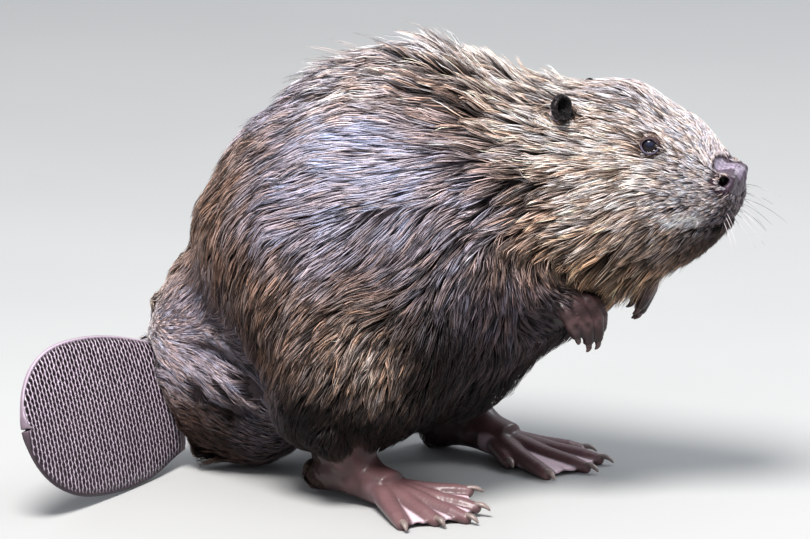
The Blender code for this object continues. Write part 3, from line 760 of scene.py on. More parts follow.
# ------------------------------------------------------------------ the one skin
def near_route(rows, points):
    """How far each place is from a route of points, and how far along the route."""
    near = np.full(len(rows), FAR)
    run = np.zeros(len(rows))
    travelled = 0.0
    for a, b in zip(points, points[1:]):
        start = np.array(a)
        leg = np.array(b) - start
        length = np.linalg.norm(leg)
        t = np.clip((rows - start) @ leg / length ** 2, 0.0, 1.0)
        gap = np.linalg.norm(rows - start - t[:, None] * leg, axis=1)
        closer = gap < near
        near = np.where(closer, gap, near)
        run = np.where(closer, travelled + t * length, run)
        travelled += length
    return near, run, travelled


def region_masks(rows):
    """How much each design place belongs to the face, to bare skin and to the ears."""
    x, _, z = rows.T
    face = smooth_step(0.175, 0.205, x) * smooth_step(0.150, 0.165, z)
    bare = np.zeros(len(rows))
    low = step_down(0.036, 0.058, z)
    for foot in FEET:
        gap, run, whole = near_route(rows, sole_route(foot))
        share = smooth_step(0.02, 0.30, run / whole + 0.08 * noise_at(rows, 0.008))
        bare = np.maximum(bare, step_down(0.021, 0.026, gap) * low * share)
        for route in foot_routes(foot):
            gap = near_route(rows, route)[0]
            bare = np.maximum(bare, step_down(0.017, 0.021, gap) * low)
    for hand in HANDS:
        for route in finger_routes(hand):
            gap, run, _ = near_route(rows, route)
            share = smooth_step(0.006, 0.017, run)
            bare = np.maximum(bare, step_down(0.0105, 0.0135, gap) * share)
    for foot in FEET:
        gap, run, whole = near_route(rows, shin_route(foot))
        share = smooth_step(0.16, 0.42, run / whole + 0.05 * noise_at(rows, 0.006))
        bare = np.maximum(bare, step_down(0.0200, 0.0255, gap) * share)
    ear = np.zeros(len(rows))
    for side in SIDES:
        away = rows - np.array(ear_middle(side))
        outside = smooth_step(-0.0095, -0.0060, away @ np.array((0.0, 0.75 * side, 0.66)))
        gap = np.linalg.norm(away, axis=1)
        ear = np.maximum(ear, step_down(EAR_INNER, EAR_OUTER, gap) * outside)
    return face, bare, ear


def make_core():
    """The flesh under the coat: the CAD's own outline, drawn in by the coat's depth."""
    bm = bmesh.new()
    for name in FLESH:
        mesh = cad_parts[name].data.copy()
        with editing(mesh) as piece:
            bmesh.ops.remove_doubles(piece, verts=piece.verts, dist=1e-5)
        set_coordinates(mesh, coordinates(mesh) + vertex_normals(mesh) * SEAM_SWELL)
        bm.from_mesh(mesh)
    core = object_from("core", bm)
    voxel_remesh(core, CORE_VOXEL)
    mesh = core.data
    face = region_masks(coordinates(mesh) - SHIFT_ROW)[0]
    relax(mesh, 60, 0.5 * (1.0 - 0.75 * face))
    rows = coordinates(mesh) - SHIFT_ROW
    normals = vertex_normals(mesh)
    depth = lie_at(rows, normals, ("depth",))["depth"]
    set_coordinates(mesh, rows - normals * depth[:, None] + SHIFT_ROW)
    relax(mesh, 8, np.full(len(rows), 0.5))
    return core


def voxel_remesh(item, size):
    remesh = item.modifiers.new("Remesh", "REMESH")
    remesh.mode = "VOXEL"
    remesh.voxel_size = size
    bake_modifiers(item)


def refine(mesh, places, reach):
    """Halve the edges near these design places."""
    rows = coordinates(mesh) - SHIFT_ROW
    near = np.zeros(len(rows), bool)
    for place in places:
        near |= distance(rows, place) < reach
    picked = np.flatnonzero(near[edge_ends(mesh)].all(axis=1))
    with editing(mesh) as bm:
        bm.edges.ensure_lookup_table()
        edges = [bm.edges[int(i)] for i in picked]
        bmesh.ops.subdivide_edges(bm, edges=edges, cuts=1, use_grid_fill=True)


def keep_biggest(mesh):
    """Drop crumbs and inner shells that the remesh leaves."""
    one, two = edge_ends(mesh).T
    label = np.arange(len(mesh.vertices))
    while True:
        lower = np.minimum(label[one], label[two])
        fresh = label.copy()
        np.minimum.at(fresh, one, lower)
        np.minimum.at(fresh, two, lower)
        fresh = fresh[fresh]
        if (fresh == label).all():
            break
        label = fresh
    biggest = np.bincount(label).argmax()
    crumbs = np.flatnonzero(label != biggest)
    if len(crumbs):
        with editing(mesh) as bm:
            bm.verts.ensure_lookup_table()
            bmesh.ops.delete(bm, geom=[bm.verts[int(i)] for i in crumbs], context="VERTS")


def make_skin():
    """One closed skin from the core and all the bare forms, modelled and thinned."""
    core = make_core()
    bm = bmesh.new()
    bm.from_mesh(core.data)
    remove(core)
    forms = [form for foot in FEET for form in foot_forms(foot)]
    forms += [form for hand in HANDS for form in hand_forms(hand)]
    forms += [ear_form(1), ear_form(-1), ear_stalk(1), ear_stalk(-1)] + nose_form()
    for form in forms:
        form.data.transform(Matrix.Translation(SHIFT))
        bm.from_mesh(form.data)
        remove(form)
    skin = object_from("skin", bm)
    voxel_remesh(skin, SKIN_VOXEL)
    mesh = skin.data
    keep_biggest(mesh)
    eyes = [mirrored(EYE_LEFT, side) for side in SIDES]
    nostrils = [mirrored(NOSTRIL_LEFT, side) for side in SIDES]
    for places, reach in ((eyes, 0.012), (eyes, 0.009), (nostrils, 0.008)):
        refine(mesh, places, reach)
    with editing(mesh) as bm:
        bmesh.ops.triangulate(bm, faces=bm.faces)
    rows = coordinates(mesh) - SHIFT_ROW
    face, bare, ear = region_masks(rows)
    fine = np.maximum.reduce((face, bare, ear))
    relax(mesh, 6, 0.5 - 0.22 * fine)
    ankles = np.zeros(len(rows))
    for foot in FEET:
        gap, run, whole = near_route(rows, shin_route(foot))
        share = step_down(0.75, 1.0, run / whole)
        ankles = np.maximum(ankles, step_down(0.022, 0.034, gap) * share)
    relax(mesh, 32, 0.5 * ankles)
    rows = coordinates(mesh) - SHIFT_ROW
    normals = vertex_normals(mesh)
    for shape in (shape_face, shape_feet, shape_rear):
        rows = shape(rows, normals)
    rows[:, 2] = np.maximum(rows[:, 2], SKIN_CLEARANCE)
    set_coordinates(mesh, rows + SHIFT_ROW)
    thin_plain_skin(skin, 1.0 - fine)
    return skin


def thin_plain_skin(skin, plain):
    """Bring the skin under its limit of triangles, mostly where the coat covers it."""
    group = skin.vertex_groups.new(name="plain")
    steps = np.round(plain * 4.0).astype(int)
    for step in range(1, 5):
        group.add([int(i) for i in np.flatnonzero(steps == step)], step / 4.0, "REPLACE")
    decimate = skin.modifiers.new("Decimate", "DECIMATE")
    decimate.ratio = min(1.0, SKIN_TRIANGLES / len(skin.data.polygons))
    decimate.vertex_group = "plain"
    decimate.vertex_group_factor = 1.0
    bake_modifiers(skin)
    skin.vertex_groups.clear()


def eye_plane(rows, side):
    """Places near an eye as across, up and outward distances from its centre."""
    out = np.array((0.16, 0.97 * side, 0.16))
    out /= np.linalg.norm(out)
    level = np.array((0.97, -0.16 * side, -0.10))
    level -= out * (level @ out)
    level /= np.linalg.norm(level)
    upright = np.cross(out, level)
    upright *= np.sign(upright[2])
    delta = rows - np.array(mirrored(EYE_LEFT, side))
    return delta @ level, delta @ upright, delta @ out, out


def lid_radius(u, v):
    """1 on the rim of the lids, less on the open eye, more outside."""
    return np.sqrt((u / LID_HALF_WIDTH) ** 2 + (v / LID_HALF_HEIGHT) ** 2)


# how far the bridge and the nose's top are drawn down, along the muzzle
BRIDGE_DROP = ((0.205, 0.0), (0.218, 0.0036), (0.226, 0.0047), (0.240, 0.0040), (0.247, 0.0062),
               (0.255, 0.0110), (0.262, 0.0118), (0.269, 0.0082), (0.276, 0.0082))


def shape_face(rows, normals):
    """Lids, brow, nostrils, the mouth's line and the lips."""
    rows = rows.copy()
    for side in SIDES:
        u, v, w, out = eye_plane(rows, side)
        radial = lid_radius(u, v)
        near = (w > -0.012) & (radial < 3.4)
        flat = np.minimum(np.hypot(u, v), EYE_RADIUS)
        wanted = np.sqrt((EYE_RADIUS + 0.0008) ** 2 - flat ** 2)
        upper = smooth_step(-0.002, 0.003, v)
        wanted += bell(radial - 1.2, 0.22) * (0.0008 + 0.0007 * upper)
        wanted -= bell(radial - 1.75, 0.25) * 0.0006
        fall = smooth_step(1.0, 2.4, radial)
        target = wanted * (1.0 - fall) + w * fall
        target = np.where(radial < 1.0, np.minimum(w, EYE_RADIUS * 0.2), target)
        rows += np.where(near, target - w, 0.0)[:, None] * out
        brow = np.exp(-((u + 0.001) / 0.010) ** 2 - ((v - 0.0105) / 0.0035) ** 2) * 0.0014
        rows += (brow * near)[:, None] * out
        pit, rim, inward = nostril_shares(rows, side)
        rows += inward * (pit * 0.0070)[:, None]
        rows -= inward * (rim * 0.0018)[:, None]
    x, y, z = rows.T
    line = bell(z - mouth_height(x), 0.0014) * smooth_step(0.232, 0.240, x)
    rows -= normals * (line * 0.0026)[:, None]
    swell = bell(z - mouth_height(x) + 0.0045, 0.0024) * smooth_step(0.236, 0.246, x)
    rows += normals * (swell * 0.0010)[:, None]
    bridge = bell(x - 0.2640, 0.0100) * smooth_step(0.240, 0.250, z) * (np.abs(y) < 0.05)
    rows -= normals * (bridge * bell(y, 0.024) * 0.0050)[:, None]
    crown = np.interp(x, *zip(*BRIDGE_DROP))
    crown += 0.0040 * smooth_step(0.258, 0.268, x) * smooth_step(0.006, 0.021, np.abs(y))
    crown *= smooth_step(0.2305, 0.252, z) * step_down(0.022, 0.036, np.abs(y))
    rows[:, 2] -= crown
    nose = nose_share(rows)
    grain = 0.00035 * noise_at(rows, 0.0016, 3.0) + 0.0003 * noise_at(rows, 0.004)
    rows += normals * (nose * grain)[:, None]
    cleft = bell(y, 0.0019) * smooth_step(0.266, 0.270, x) * smooth_step(0.200, 0.204, z)
    cleft *= step_down(0.236, 0.242, z)
    rows -= normals * (cleft * 0.0020)[:, None]
    return rows


def mouth_height(x):
    return 0.2000 - 0.06 * np.maximum(0.2660 - x, 0.0)


def face_marks(rows):
    """Shares of the pale upper lip, the dark lower lip and chin, and the front of the lip."""
    x, _, z = rows.T
    above = z - mouth_height(x) + 0.0026 * noise_at(rows, 0.006)
    pale = smooth_step(0.0014, 0.0034, above) * step_down(0.0095, 0.0135, above)
    pale *= smooth_step(0.229, 0.236, x) * step_down(0.252, 0.260, x)
    dark = step_down(-0.0020, 0.0026, above) * smooth_step(-0.030, -0.006, above)
    dark *= smooth_step(0.236, 0.249, x)
    front = smooth_step(0.252, 0.266, x) * smooth_step(-0.0010, 0.0016, above)
    front *= step_down(0.0040, 0.0150, above)
    return pale, dark, front


def marked(rows, root, tip):
    """The coat's root and tip colours under the face's marks, with painted shade in the rump's crease and in
    the grooves of the tail's folds and a painted highlight on their ridges.
    """
    pale, dark, front = face_marks(rows)
    # painted shade: the coat darkened toward black along the rump's crease
    fold = bell(near_route(rows, [Vector(place) for place in RUMP_CREASE])[0], 0.0110)
    tip = blend(tip, "black", fold * 0.92)
    root = blend(root, "black", fold)
    tip = blend(blend(tip, "lip", pale), "umber", dark * 0.55)
    tip = blend(tip, "smoke", front * 0.5)
    root = blend(blend(root, "silver", pale * 0.9), "black", np.maximum(dark, front))
    # painted shade in each fold's groove, toward black; a painted highlight on its ridge, toward ash and
    # smoke
    for groove, ridge, _ in TAIL_FOLDS:
        cut, lit = fold_shares(rows, groove, ridge)
        tip = blend(blend(tip, "ash", lit * 0.75), "black", cut)
        root = blend(blend(root, "smoke", lit * 0.75), "black", cut)
    return root, tip


def nostril_shares(rows, side):
    """How far each place is in a nostril's pit and on its rim, and the way into it."""
    inward = np.array((-0.40, -0.90 * side, 0.0))
    inward /= np.linalg.norm(inward)
    gap = rows - np.array(mirrored(NOSTRIL_LEFT, side))
    along = np.array((-0.35, 0.10 * side, 0.90))
    along -= inward * (along @ inward)
    along /= np.linalg.norm(along)
    across = np.cross(along, inward)
    radius = np.sqrt((gap @ along / 0.0041) ** 2 + (gap @ across / 0.0046) ** 2)
    near = np.abs(gap @ inward) < 0.012
    pit = step_down(0.40, 1.10, radius) * near
    rim = bell(radius - 1.75, 0.65) * near
    return pit, rim, inward


def shape_feet(rows, normals):
    """Skin folds across the toes and the fingers."""
    rows = rows.copy()
    for foot in FEET:
        for route in foot_routes(foot):
            near, run, whole = near_route(rows, route)
            hold = step_down(0.0085, 0.0105, near) * (rows[:, 2] > 0.003)
            folds = np.sin(run / 0.0034 * 2.0 * math.pi + 2.0 * noise_at(rows, 0.01))
            folds *= smooth_step(0.15, 0.35, run / whole)
            rows += normals * (hold * folds * 0.00005)[:, None]
    for hand in HANDS:
        for route in finger_routes(hand):
            near, run, _ = near_route(rows, route)
            folds = np.sin(run / 0.0027 * 2.0 * math.pi + 2.0 * noise_at(rows, 0.006))
            rows += normals * (folds * step_down(0.0075, 0.0100, near) * 0.00010)[:, None]
    return rows


def fold_shares(rows, groove, ridge):
    """How much each place lies in a fold's groove, and how much on its ridge."""
    near, run, whole = near_route(rows, [Vector(place) for place in groove])
    fade = np.sin(np.clip(run / whole, 0.03, 0.97) * math.pi) ** 0.5
    above, run, whole = near_route(rows, [Vector(place) for place in ridge])
    lit = bell(above, 0.0065) * np.sin(np.clip(run / whole, 0.08, 0.92) * math.pi) ** 0.5
    return bell(near, 0.0036) * fade, lit


def shape_rear(rows, normals):
    """The folds at the tail's root."""
    rows = rows.copy()
    for groove, ridge, rise in TAIL_FOLDS:
        cut, lit = fold_shares(rows, groove, ridge)
        rows += normals * (lit * rise - cut * 0.0060)[:, None]
    return rows


def nose_share(rows):
    """1 on the bare pad of the nose, a rounded oblong across the front of the muzzle."""
    x, y, z = rows.T
    across = np.abs(y) / (0.0300 - 0.55 * np.maximum(0.2300 - z, 0.0))
    upright = np.abs(z - 0.2292 + 3.2 * y * y) / 0.0118
    radius = np.hypot(across, upright)
    pad = step_down(0.84, 1.10, radius + 0.09 * noise_at(rows, 0.0035))
    return pad * smooth_step(0.2545, 0.2575, x)


def blend(base, colour, share):
    """Colours drawn toward a named colour."""
    return base + (np.array(COLOUR[colour]) - base) * share[:, None]


def plain_tone(colour, count):
    return np.array(COLOUR[colour])[None, :].repeat(count, 0)


def toe_tone(rows, flesh, foot):
    """Paler toes, pale webs and painted shade in the crease beside each toe."""
    toe = np.full(len(rows), FAR)
    share = np.zeros(len(rows))
    for route in foot_routes(foot):
        gap, run, whole = near_route(rows, route)
        share = np.where(gap < toe, run / whole, share)
        toe = np.minimum(toe, gap)
    low = step_down(0.016, 0.022, rows[:, 2]) * (toe < 0.03)
    reach = smooth_step(0.15, 0.60, share) * low
    flesh = blend(flesh, "mauve", reach * 0.75)
    web = smooth_step(0.0062, 0.0090, toe) * smooth_step(0.30, 0.65, share) * low
    web *= step_down(0.014, 0.018, toe)
    flesh = blend(flesh, "web", web)
    # painted shade: a darker band in the crease beside each toe
    crease = bell(toe - 0.0072, 0.0012) * reach
    return blend(flesh, "dark_skin", crease * 0.5)


def flesh_tone(rows):
    """Bare skin: dark at the heels and on the hands, with a painted highlight on the fingers' joints."""
    flesh = plain_tone("wet_skin", len(rows))
    flesh = flesh * (1.0 + 0.55 * noise_at(rows, 0.009, 5.0))[:, None]
    for foot in FEET:
        heel, ahead, _ = foot_frame(foot)
        beyond = (rows - np.array(heel)) @ np.array(ahead)
        flesh = blend(flesh, "dark_skin", step_down(0.005, 0.045, beyond) * 0.65)
    for foot in FEET:
        flesh = toe_tone(rows, flesh, foot)
    flesh = blend(flesh, "dark_skin", smooth_step(0.08, 0.10, rows[:, 2]))
    for hand in HANDS:
        joint = np.zeros(len(rows))
        for route in finger_routes(hand):
            for place in route[1:-1]:
                joint = np.maximum(joint, np.exp(-(distance(rows, place) / 0.0068) ** 4))
        # painted highlight: the fingers' joints lightened toward mauve, unevenly
        knuckle_highlight = (0.40 + 0.45 * noise_at(rows, 0.0035, 2.0)).clip(0.0, 0.8)
        flesh = blend(flesh, "mauve", joint * knuckle_highlight)
    return flesh


def nose_tone(rows, tone, nose):
    """The grained pad of the nose, darker below as painted shade on its underside."""
    tone = blend(tone, "nose", nose)
    # painted shade: the pad's lower part drawn toward its dark colour
    low = step_down(0.2265, 0.2350, rows[:, 2] + 0.10 * (np.abs(rows[:, 1]) - 0.010))
    tone = blend(tone, "nose_dark", nose * low * 0.80)
    grain = 0.95 * noise_at(rows, 0.0014) + 0.45 * noise_at(rows, 0.005, 4.0)
    return tone * np.clip(1.0 + nose * grain, 0.15, 2.0)[:, None]


def ear_tone(rows, normals, tone, side):
    """A grey rim behind; dark skin facing forward and a black bowl, the ear's dark skin deepened as painted
    shade of the hollow.
    """
    facing = np.array(ear_facing(side))
    away = rows - np.array(ear_middle(side))
    gap = np.linalg.norm(away, axis=1)
    near = step_down(EAR_INNER, EAR_OUTER, gap)
    tone = blend(tone, "ear", near * 0.9)
    # painted shade: the side facing into the bowl darkened, and the bowl itself made black
    front = smooth_step(-0.25, 0.15, normals @ facing)
    tone = blend(tone, "dark_skin", front * near)
    inner = step_down(0.0078, EAR_RADIUS, gap) * smooth_step(-0.0078, -0.0062, away @ facing)
    return blend(tone, "black", inner * smooth_step(-0.6, -0.1, normals @ facing))


def eye_tone(rows, tone, side):
    """Dark skin round an eye, with the lid's pale wet edge, most of it below."""
    u, v, w, _ = eye_plane(rows, side)
    radial = lid_radius(u, v)
    at_eye = w > 0.0
    tone = blend(tone, "dark_skin", step_down(1.25, 1.70, radial) * at_eye * 0.85)
    edge = (0.12 + 0.88 * smooth_step(0.001, -0.003, v)) * bell(radial - 1.12, 0.11)
    return blend(tone, "lid", edge * at_eye * 0.6)


def skin_colours(rows, normals):
    """The skin's markings and painted shade: the coat's table where it grows, flesh where it is bare."""
    face, bare, ear = region_masks(rows)
    lie = lie_at(rows, normals, ("root", "tip", "depth"))
    thin = 0.15 * step_down(0.0020, 0.0040, lie["depth"]) * (1.0 - face)
    root, tip = marked(rows, lie["root"], lie["tip"])
    tone = root * 0.55 + tip * (0.04 + thin)[:, None]
    tone = tone * (0.85 + 0.25 * noise_at(rows, 0.006))[:, None]
    tone = tone * (1.0 - bare[:, None]) + flesh_tone(rows) * bare[:, None]
    nose = nose_share(rows)
    tone = nose_tone(rows, tone, nose)
    for side in SIDES:
        tone = ear_tone(rows, normals, tone, side)
        pit, rim, _ = nostril_shares(rows, side)
        tone = blend(tone, "nose_dark", np.minimum(rim * 1.4, 0.92))
        # painted shade: the nostril's pit made black
        tone = blend(tone, "black", smooth_step(0.10, 0.5, pit))
        tone = eye_tone(rows, tone, side)
    # painted shade: a black line in the mouth's groove
    line = bell(rows[:, 2] - mouth_height(rows[:, 0]) + 0.001, 0.0030)
    tone = blend(tone, "black", line * smooth_step(0.233, 0.240, rows[:, 0]))
    return tone, np.maximum.reduce((bare, nose, ear * 0.5))


# ------------------------------------------------------------------ the coat
def unwrap_of(skin):
    """A rough copy of the skin with its own unwrap, from which roots take their UV."""
    copy = new_object("unwrap", skin.data.copy())
    decimate = copy.modifiers.new("Decimate", "DECIMATE")
    decimate.ratio = min(1.0, UNWRAP_TRIANGLES / len(copy.data.polygons))
    bake_modifiers(copy)
    bpy.context.view_layer.objects.active = copy
    bpy.ops.object.select_all(action="DESELECT")
    copy.select_set(True)
    bpy.ops.object.mode_set(mode="EDIT")
    bpy.ops.mesh.select_all(action="SELECT")
    bpy.ops.uv.smart_project(angle_limit=math.radians(66.0), island_margin=0.004)
    bpy.ops.object.mode_set(mode="OBJECT")
    mesh = copy.data
    uv = read(mesh.uv_layers.active.data, "uv", 2, np.float32)
    loops = read(mesh.polygons, "loop_start", 1, np.int32)[:, 0]
    corners = (uv[loops] + uv[loops + 1] + uv[loops + 2]) / 3.0
    tree = tree_of(read(mesh.polygons, "center", 3, np.float32))
    remove(copy)
    return tree, corners


def root_density(rows, normals, fields, masks):
    """Strands for each square metre, so that they overlap about three deep."""
    face, bare, ear = masks
    width = strand_width(fields["length"])
    density = COVER / (0.45 * fields["length"] * width)
    density *= step_down(0.35, 0.65, bare)
    density *= 1.0 - 0.25 * ear
    density *= 1.0 - 0.35 * smooth_step(0.1, 0.6, -normals[:, 2]) * (1.0 - face)
    density *= step_down(0.30, 0.60, nose_share(rows))
    for side in SIDES:
        u, v, w, _ = eye_plane(rows, side)
        density *= np.where((w > -0.001), smooth_step(1.25, 1.55, lid_radius(u, v)), 1.0)
        pit, rim, _ = nostril_shares(rows, side)
        density *= step_down(0.0, 0.1, pit) * (1.0 - 0.9 * smooth_step(0.45, 0.80, rim))
    return density


def strand_width(length):
    return 0.00042 + 0.026 * length


def scatter_roots(mesh, density, rng):
    """Points on the skin, as triangle corners and weights, by area and density."""
    corners = triangle_corners(mesh)
    area = read(mesh.polygons, "area", 1, np.float32)[:, 0]
    share = np.cumsum(area * density[corners].mean(axis=1))
    count = int(share[-1])
    picked = np.searchsorted(share, (np.arange(count) + rng.random(count)) / count * share[-1])
    picked = np.minimum(picked, len(corners) - 1)
    a, b = rng.random(count), rng.random(count)
    flip = a + b > 1.0
    a[flip], b[flip] = 1.0 - a[flip], 1.0 - b[flip]
    return corners[picked], np.stack((1.0 - a - b, a, b), axis=1)


def mix(field, corners, weights):
    """A field of the skin's vertices at points given by corners and weights."""
    if field.ndim == 1:
        return (field[corners] * weights).sum(axis=1)
    return (field[corners] * weights[:, :, None]).sum(axis=1)


def walk_strands(tree, rows, normals, ways, start, start_way, length):
    """Each strand's track over the skin, with the normal at each of its points."""
    place, way = start, start_way
    index = nearest(tree, place)
    track = [place]
    facing = [normals[index]]
    for _ in range(STEPS):
        place = place + way * (length / STEPS)[:, None]
        index = nearest(tree, place)
        normal = normals[index]
        place = place - normal * np.sum((place - rows[index]) * normal, axis=1, keepdims=True)
        way = unit(way * 0.45 + ways[index] * 0.55)
        way = unit(level_with(way, normal))
        track.append(place)
        facing.append(normal)
    return np.stack(track, axis=1), np.stack(facing, axis=1)


def nearest_seed(roots, order, size):
    """The number of each strand's lock: its nearest among one strand in every few."""
    seeds = np.sort(order[:max(len(roots) // size, 1)])
    return seeds[nearest(tree_of(roots[seeds]), roots)]


def gather(paths, roots, seeds, strength):
    """Draw strands toward their lock's own strand, more toward the tips."""
    t = ALONG[..., None]
    pull = strength[:, None, None] * t ** 1.1
    guide = paths[seeds] + (roots - roots[seeds])[:, None, :] * (1.0 - 0.90 * t)
    return paths + (guide - paths) * pull


def settle(paths, tree, rows, normals, least):
    """Bring strands that sank into a hollow of the skin back out of it."""
    for step in sorted(set(SHORT_STEPS + LONG_STEPS) - {0}):
        place = paths[:, step]
        index = nearest(tree, place)
        above = np.sum((place - rows[index]) * normals[index], axis=1)
        rise = np.clip(least - above, 0.0, MOST_SETTLED)
        paths[:, step] = place + normals[index] * rise[:, None]
    return paths


def coat_fields(rows, normals, bare, ear):
    """The coat's fields on the skin, with the marks, the ears and the edges of bare skin."""
    fields = lie_at(rows, normals, ("way", *FIELDS))
    fields["root"], fields["tip"] = marked(rows, fields["root"], fields["tip"])
    fields["clump"] = fields["clump"] * (1.0 - 0.55 * face_marks(rows)[0])
    fields["length"] = fields["length"] * (1.0 - ear) + EAR_FUR * ear
    fields["length"] = np.minimum(fields["length"], 0.003 + 0.030 * (1.0 - bare) ** 1.5)
    fields["depth"] = fields["depth"] * (1.0 - 0.92 * ear) * (1.0 - 0.80 * bare)
    hollow = ear_hollow(rows, normals)
    fields["length"] = fields["length"] * (1.0 - hollow) + BOWL_FUR * hollow
    # the bowl's fur black: dark fur deepened as painted shade of the hollow
    fields["tip"] = blend(blend(fields["tip"], "grey", ear * 0.8), "black", hollow)
    fields["root"] = blend(fields["root"], "black", hollow)
    return fields


def strand_heights(got, length, fine, broad, rng):
    """The height of each strand's points, its least height, and whether its lock stands up."""
    count = len(length)
    spread = 0.25 + 0.45 * np.clip(got["clump"] * 1.5, 0.0, 1.0)
    layer = 0.70 + spread * (rng.random(count) - 0.5)
    thick = np.minimum(got["depth"], FULL_DEPTH + 0.20 * (got["depth"] - FULL_DEPTH))
    lay = (thick * layer)[:, None] * np.minimum(ALONG * 1.6, 1.0) ** 0.8
    extra = np.sin(np.maximum(got["lift"] - FLAT_LIFT, 0.0))
    stand = length * extra * (0.12 + 0.70 * hashed(broad, 3) ** 1.5 + 0.18 * rng.random(count))
    lofty = (hashed(fine, 14) < LOFTY_SHARE) * smooth_step(0.28, 0.48, got["lift"])
    stand = stand + lofty * length * (0.14 + 0.26 * hashed(fine, 15))
    height = lay + stand[:, None] * ALONG ** 1.5 - 0.0004 * (1.0 - ALONG)
    return height, thick * layer * 0.5, lofty


def grow_coat(skin):
    """All the coat's strands, in fine locks within broad ones, as pieces."""
    rng = np.random.default_rng(SEED)
    mesh = skin.data
    rows = coordinates(mesh) - SHIFT_ROW
    normals = vertex_normals(mesh)
    face, bare, ear = region_masks(rows)
    fields = coat_fields(rows, normals, bare, ear)
    wander = 0.30 * noise_at(rows, 0.035, 1.0) + 0.12 * noise_at(rows, 0.011, 7.0)
    ways = turned(fields["way"], normals, wander)
    tree = tree_of(rows)
    density = root_density(rows, normals, fields, (face, bare, ear))
    corners, weights = scatter_roots(mesh, density, rng)
    roots = mix(rows, corners, weights)
    got = {key: mix(fields[key], corners, weights) for key in FIELDS}
    root_normals = unit(mix(normals, corners, weights))
    count = len(roots)
    order = rng.permutation(count)
    fine = nearest_seed(roots, order, FINE_LOCK)
    broad = nearest_seed(roots, order, BROAD_LOCK)
    length = got["length"] * (0.75 + 0.5 * rng.random(count)) * (0.85 + 0.3 * hashed(broad, 1))
    start_way = turned(unit(mix(ways, corners, weights)), root_normals,
                       0.16 * (rng.random(count) * 2 - 1) + 0.22 * (hashed(broad, 2) * 2 - 1))
    track, facing = walk_strands(tree, rows, normals, ways, roots, start_way, length)
    height, least, lofty = strand_heights(got, length, fine, broad, rng)
    paths = track + facing * height[:, :, None]
    strength = np.clip(got["clump"] * (0.7 + 0.5 * rng.random(count)), 0.0, 0.97)
    paths = gather(paths, roots, fine, np.minimum(strength * 1.1, 0.97))
    paths = gather(paths, roots, broad, strength * strength * 0.80 * (1.0 - lofty))
    paths = settle(paths, tree, rows, normals, least)
    sideways = np.cross(facing, np.gradient(paths, axis=1))
    sideways /= np.maximum(np.linalg.norm(sideways, axis=2, keepdims=True), 1e-9)
    turns = (3.0 + 3.0 * rng.random(count))[:, None]
    wave = np.sin(ALONG * turns + 6.28 * rng.random(count)[:, None])
    paths = paths + sideways * (wave * ALONG * (length * 0.025)[:, None])[:, :, None]
    paths = keep_clear(paths)
    colours = strand_colours(got, fine, broad, rng)
    width = strand_width(got["length"]) * (0.7 + 0.6 * rng.random(count)) * (1.0 - 0.3 * lofty)
    tree_uv, uv = unwrap_of(skin)
    root_uv = uv[nearest(tree_uv, roots + SHIFT_ROW)]
    play = np.clip(0.20 + 1.1 * got["clump"], 0.25, 1.0)
    return build_pieces(dict(paths=paths, facing=facing, sideways=sideways, width=width, play=play,
                             colours=colours, uv=root_uv, roots=roots, length=length))


def turned(ways, normals, angle):
    """Directions turned about the skin's normals."""
    side = np.cross(normals, ways)
    return unit(ways * np.cos(angle)[:, None] + side * np.sin(angle)[:, None])


def hashed(numbers, salt):
    """A fixed random share for each lock's number."""
    value = np.sin(numbers * 12.9898 + salt * 78.233) * 43758.5453
    return value - np.floor(value)


def keep_clear(paths):
    """Strands that would lie over an eye or into an ear stop short of it."""
    for side in SIDES:
        eye = np.array(mirrored(EYE_LEFT, side))
        ear = np.array(ear_middle(side) + ear_facing(side) * 0.005)
        for middle, reach, kept, rooted in ((eye, EYE_CLEAR, 0.30, True), (ear, EAR_CLEAR, 0.35, False)):
            gap = np.linalg.norm(paths[:, 1:] - middle, axis=2).min(axis=1)
            outside = np.linalg.norm(paths[:, 0] - middle, axis=1) > reach
            crosses = ((gap < reach) & (outside | rooted))[:, None, None]
            short = paths[:, :1] + (paths - paths[:, :1]) * kept
            paths = np.where(crosses, short, paths)
    return paths


def strand_colours(got, fine, broad, rng):
    """A colour for each point of each strand: dark roots, paler tips, dark strands between."""
    count = len(fine)
    rough = got["clump"]
    value = np.exp((0.08 + 0.30 * rough) * rng.standard_normal(count)
                   + (0.08 + 0.34 * rough) * (hashed(fine, 4) * 2 - 1)
                   + 0.20 * rough * (hashed(broad, 5) * 2 - 1))
    warm = 1.0 + 0.15 * (hashed(fine, 6) * 2 - 1)
    dark = hashed(fine, 9) + 0.4 * (rng.random(count) - 0.5) < 0.50 * rough - 0.08
    pale = smooth_step(0.45, 0.75, got["tip"].mean(axis=1))
    value = np.where(dark, value * (0.20 + 0.18 * pale), value * 1.12)[:, None]
    tip = got["tip"] * value * np.stack((warm, np.ones(count), 2.0 - warm), axis=1)
    root = got["root"] * np.sqrt(value) * 0.8
    begin = (0.02 + 0.24 * rough)[:, None, None]
    share = np.clip((ALONG[..., None] - begin) / 0.50, 0.0, 1.0)
    return np.clip(root[:, None, :] + (tip - root)[:, None, :] * share, *COLOUR_LIMITS)


REGIONS = (
    ("coat_head", lambda r: (r[:, 0] > 0.176) & (r[:, 2] > 0.15)),
    ("coat_neck", lambda r: (r[:, 0] > 0.125) & (r[:, 2] > 0.13)),
    ("coat_back", lambda r: (r[:, 2] > 0.255)),
    ("coat_tail_root", lambda r: (r[:, 0] < -0.080) & (r[:, 2] < 0.125)),
    ("coat_flank_right", lambda r: (r[:, 1] < 0) & (r[:, 2] > 0.125)),
    ("coat_flank_left", lambda r: (r[:, 1] >= 0) & (r[:, 2] > 0.125)),
    ("coat_legs_right", lambda r: (r[:, 1] < -0.02)),
    ("coat_legs_left", lambda r: (r[:, 1] > 0.02)),
    ("coat_belly", lambda r: np.ones(len(r), bool)),
)


def blade_triangles(keep):
    return 6 * (len(keep) - 2) + 4


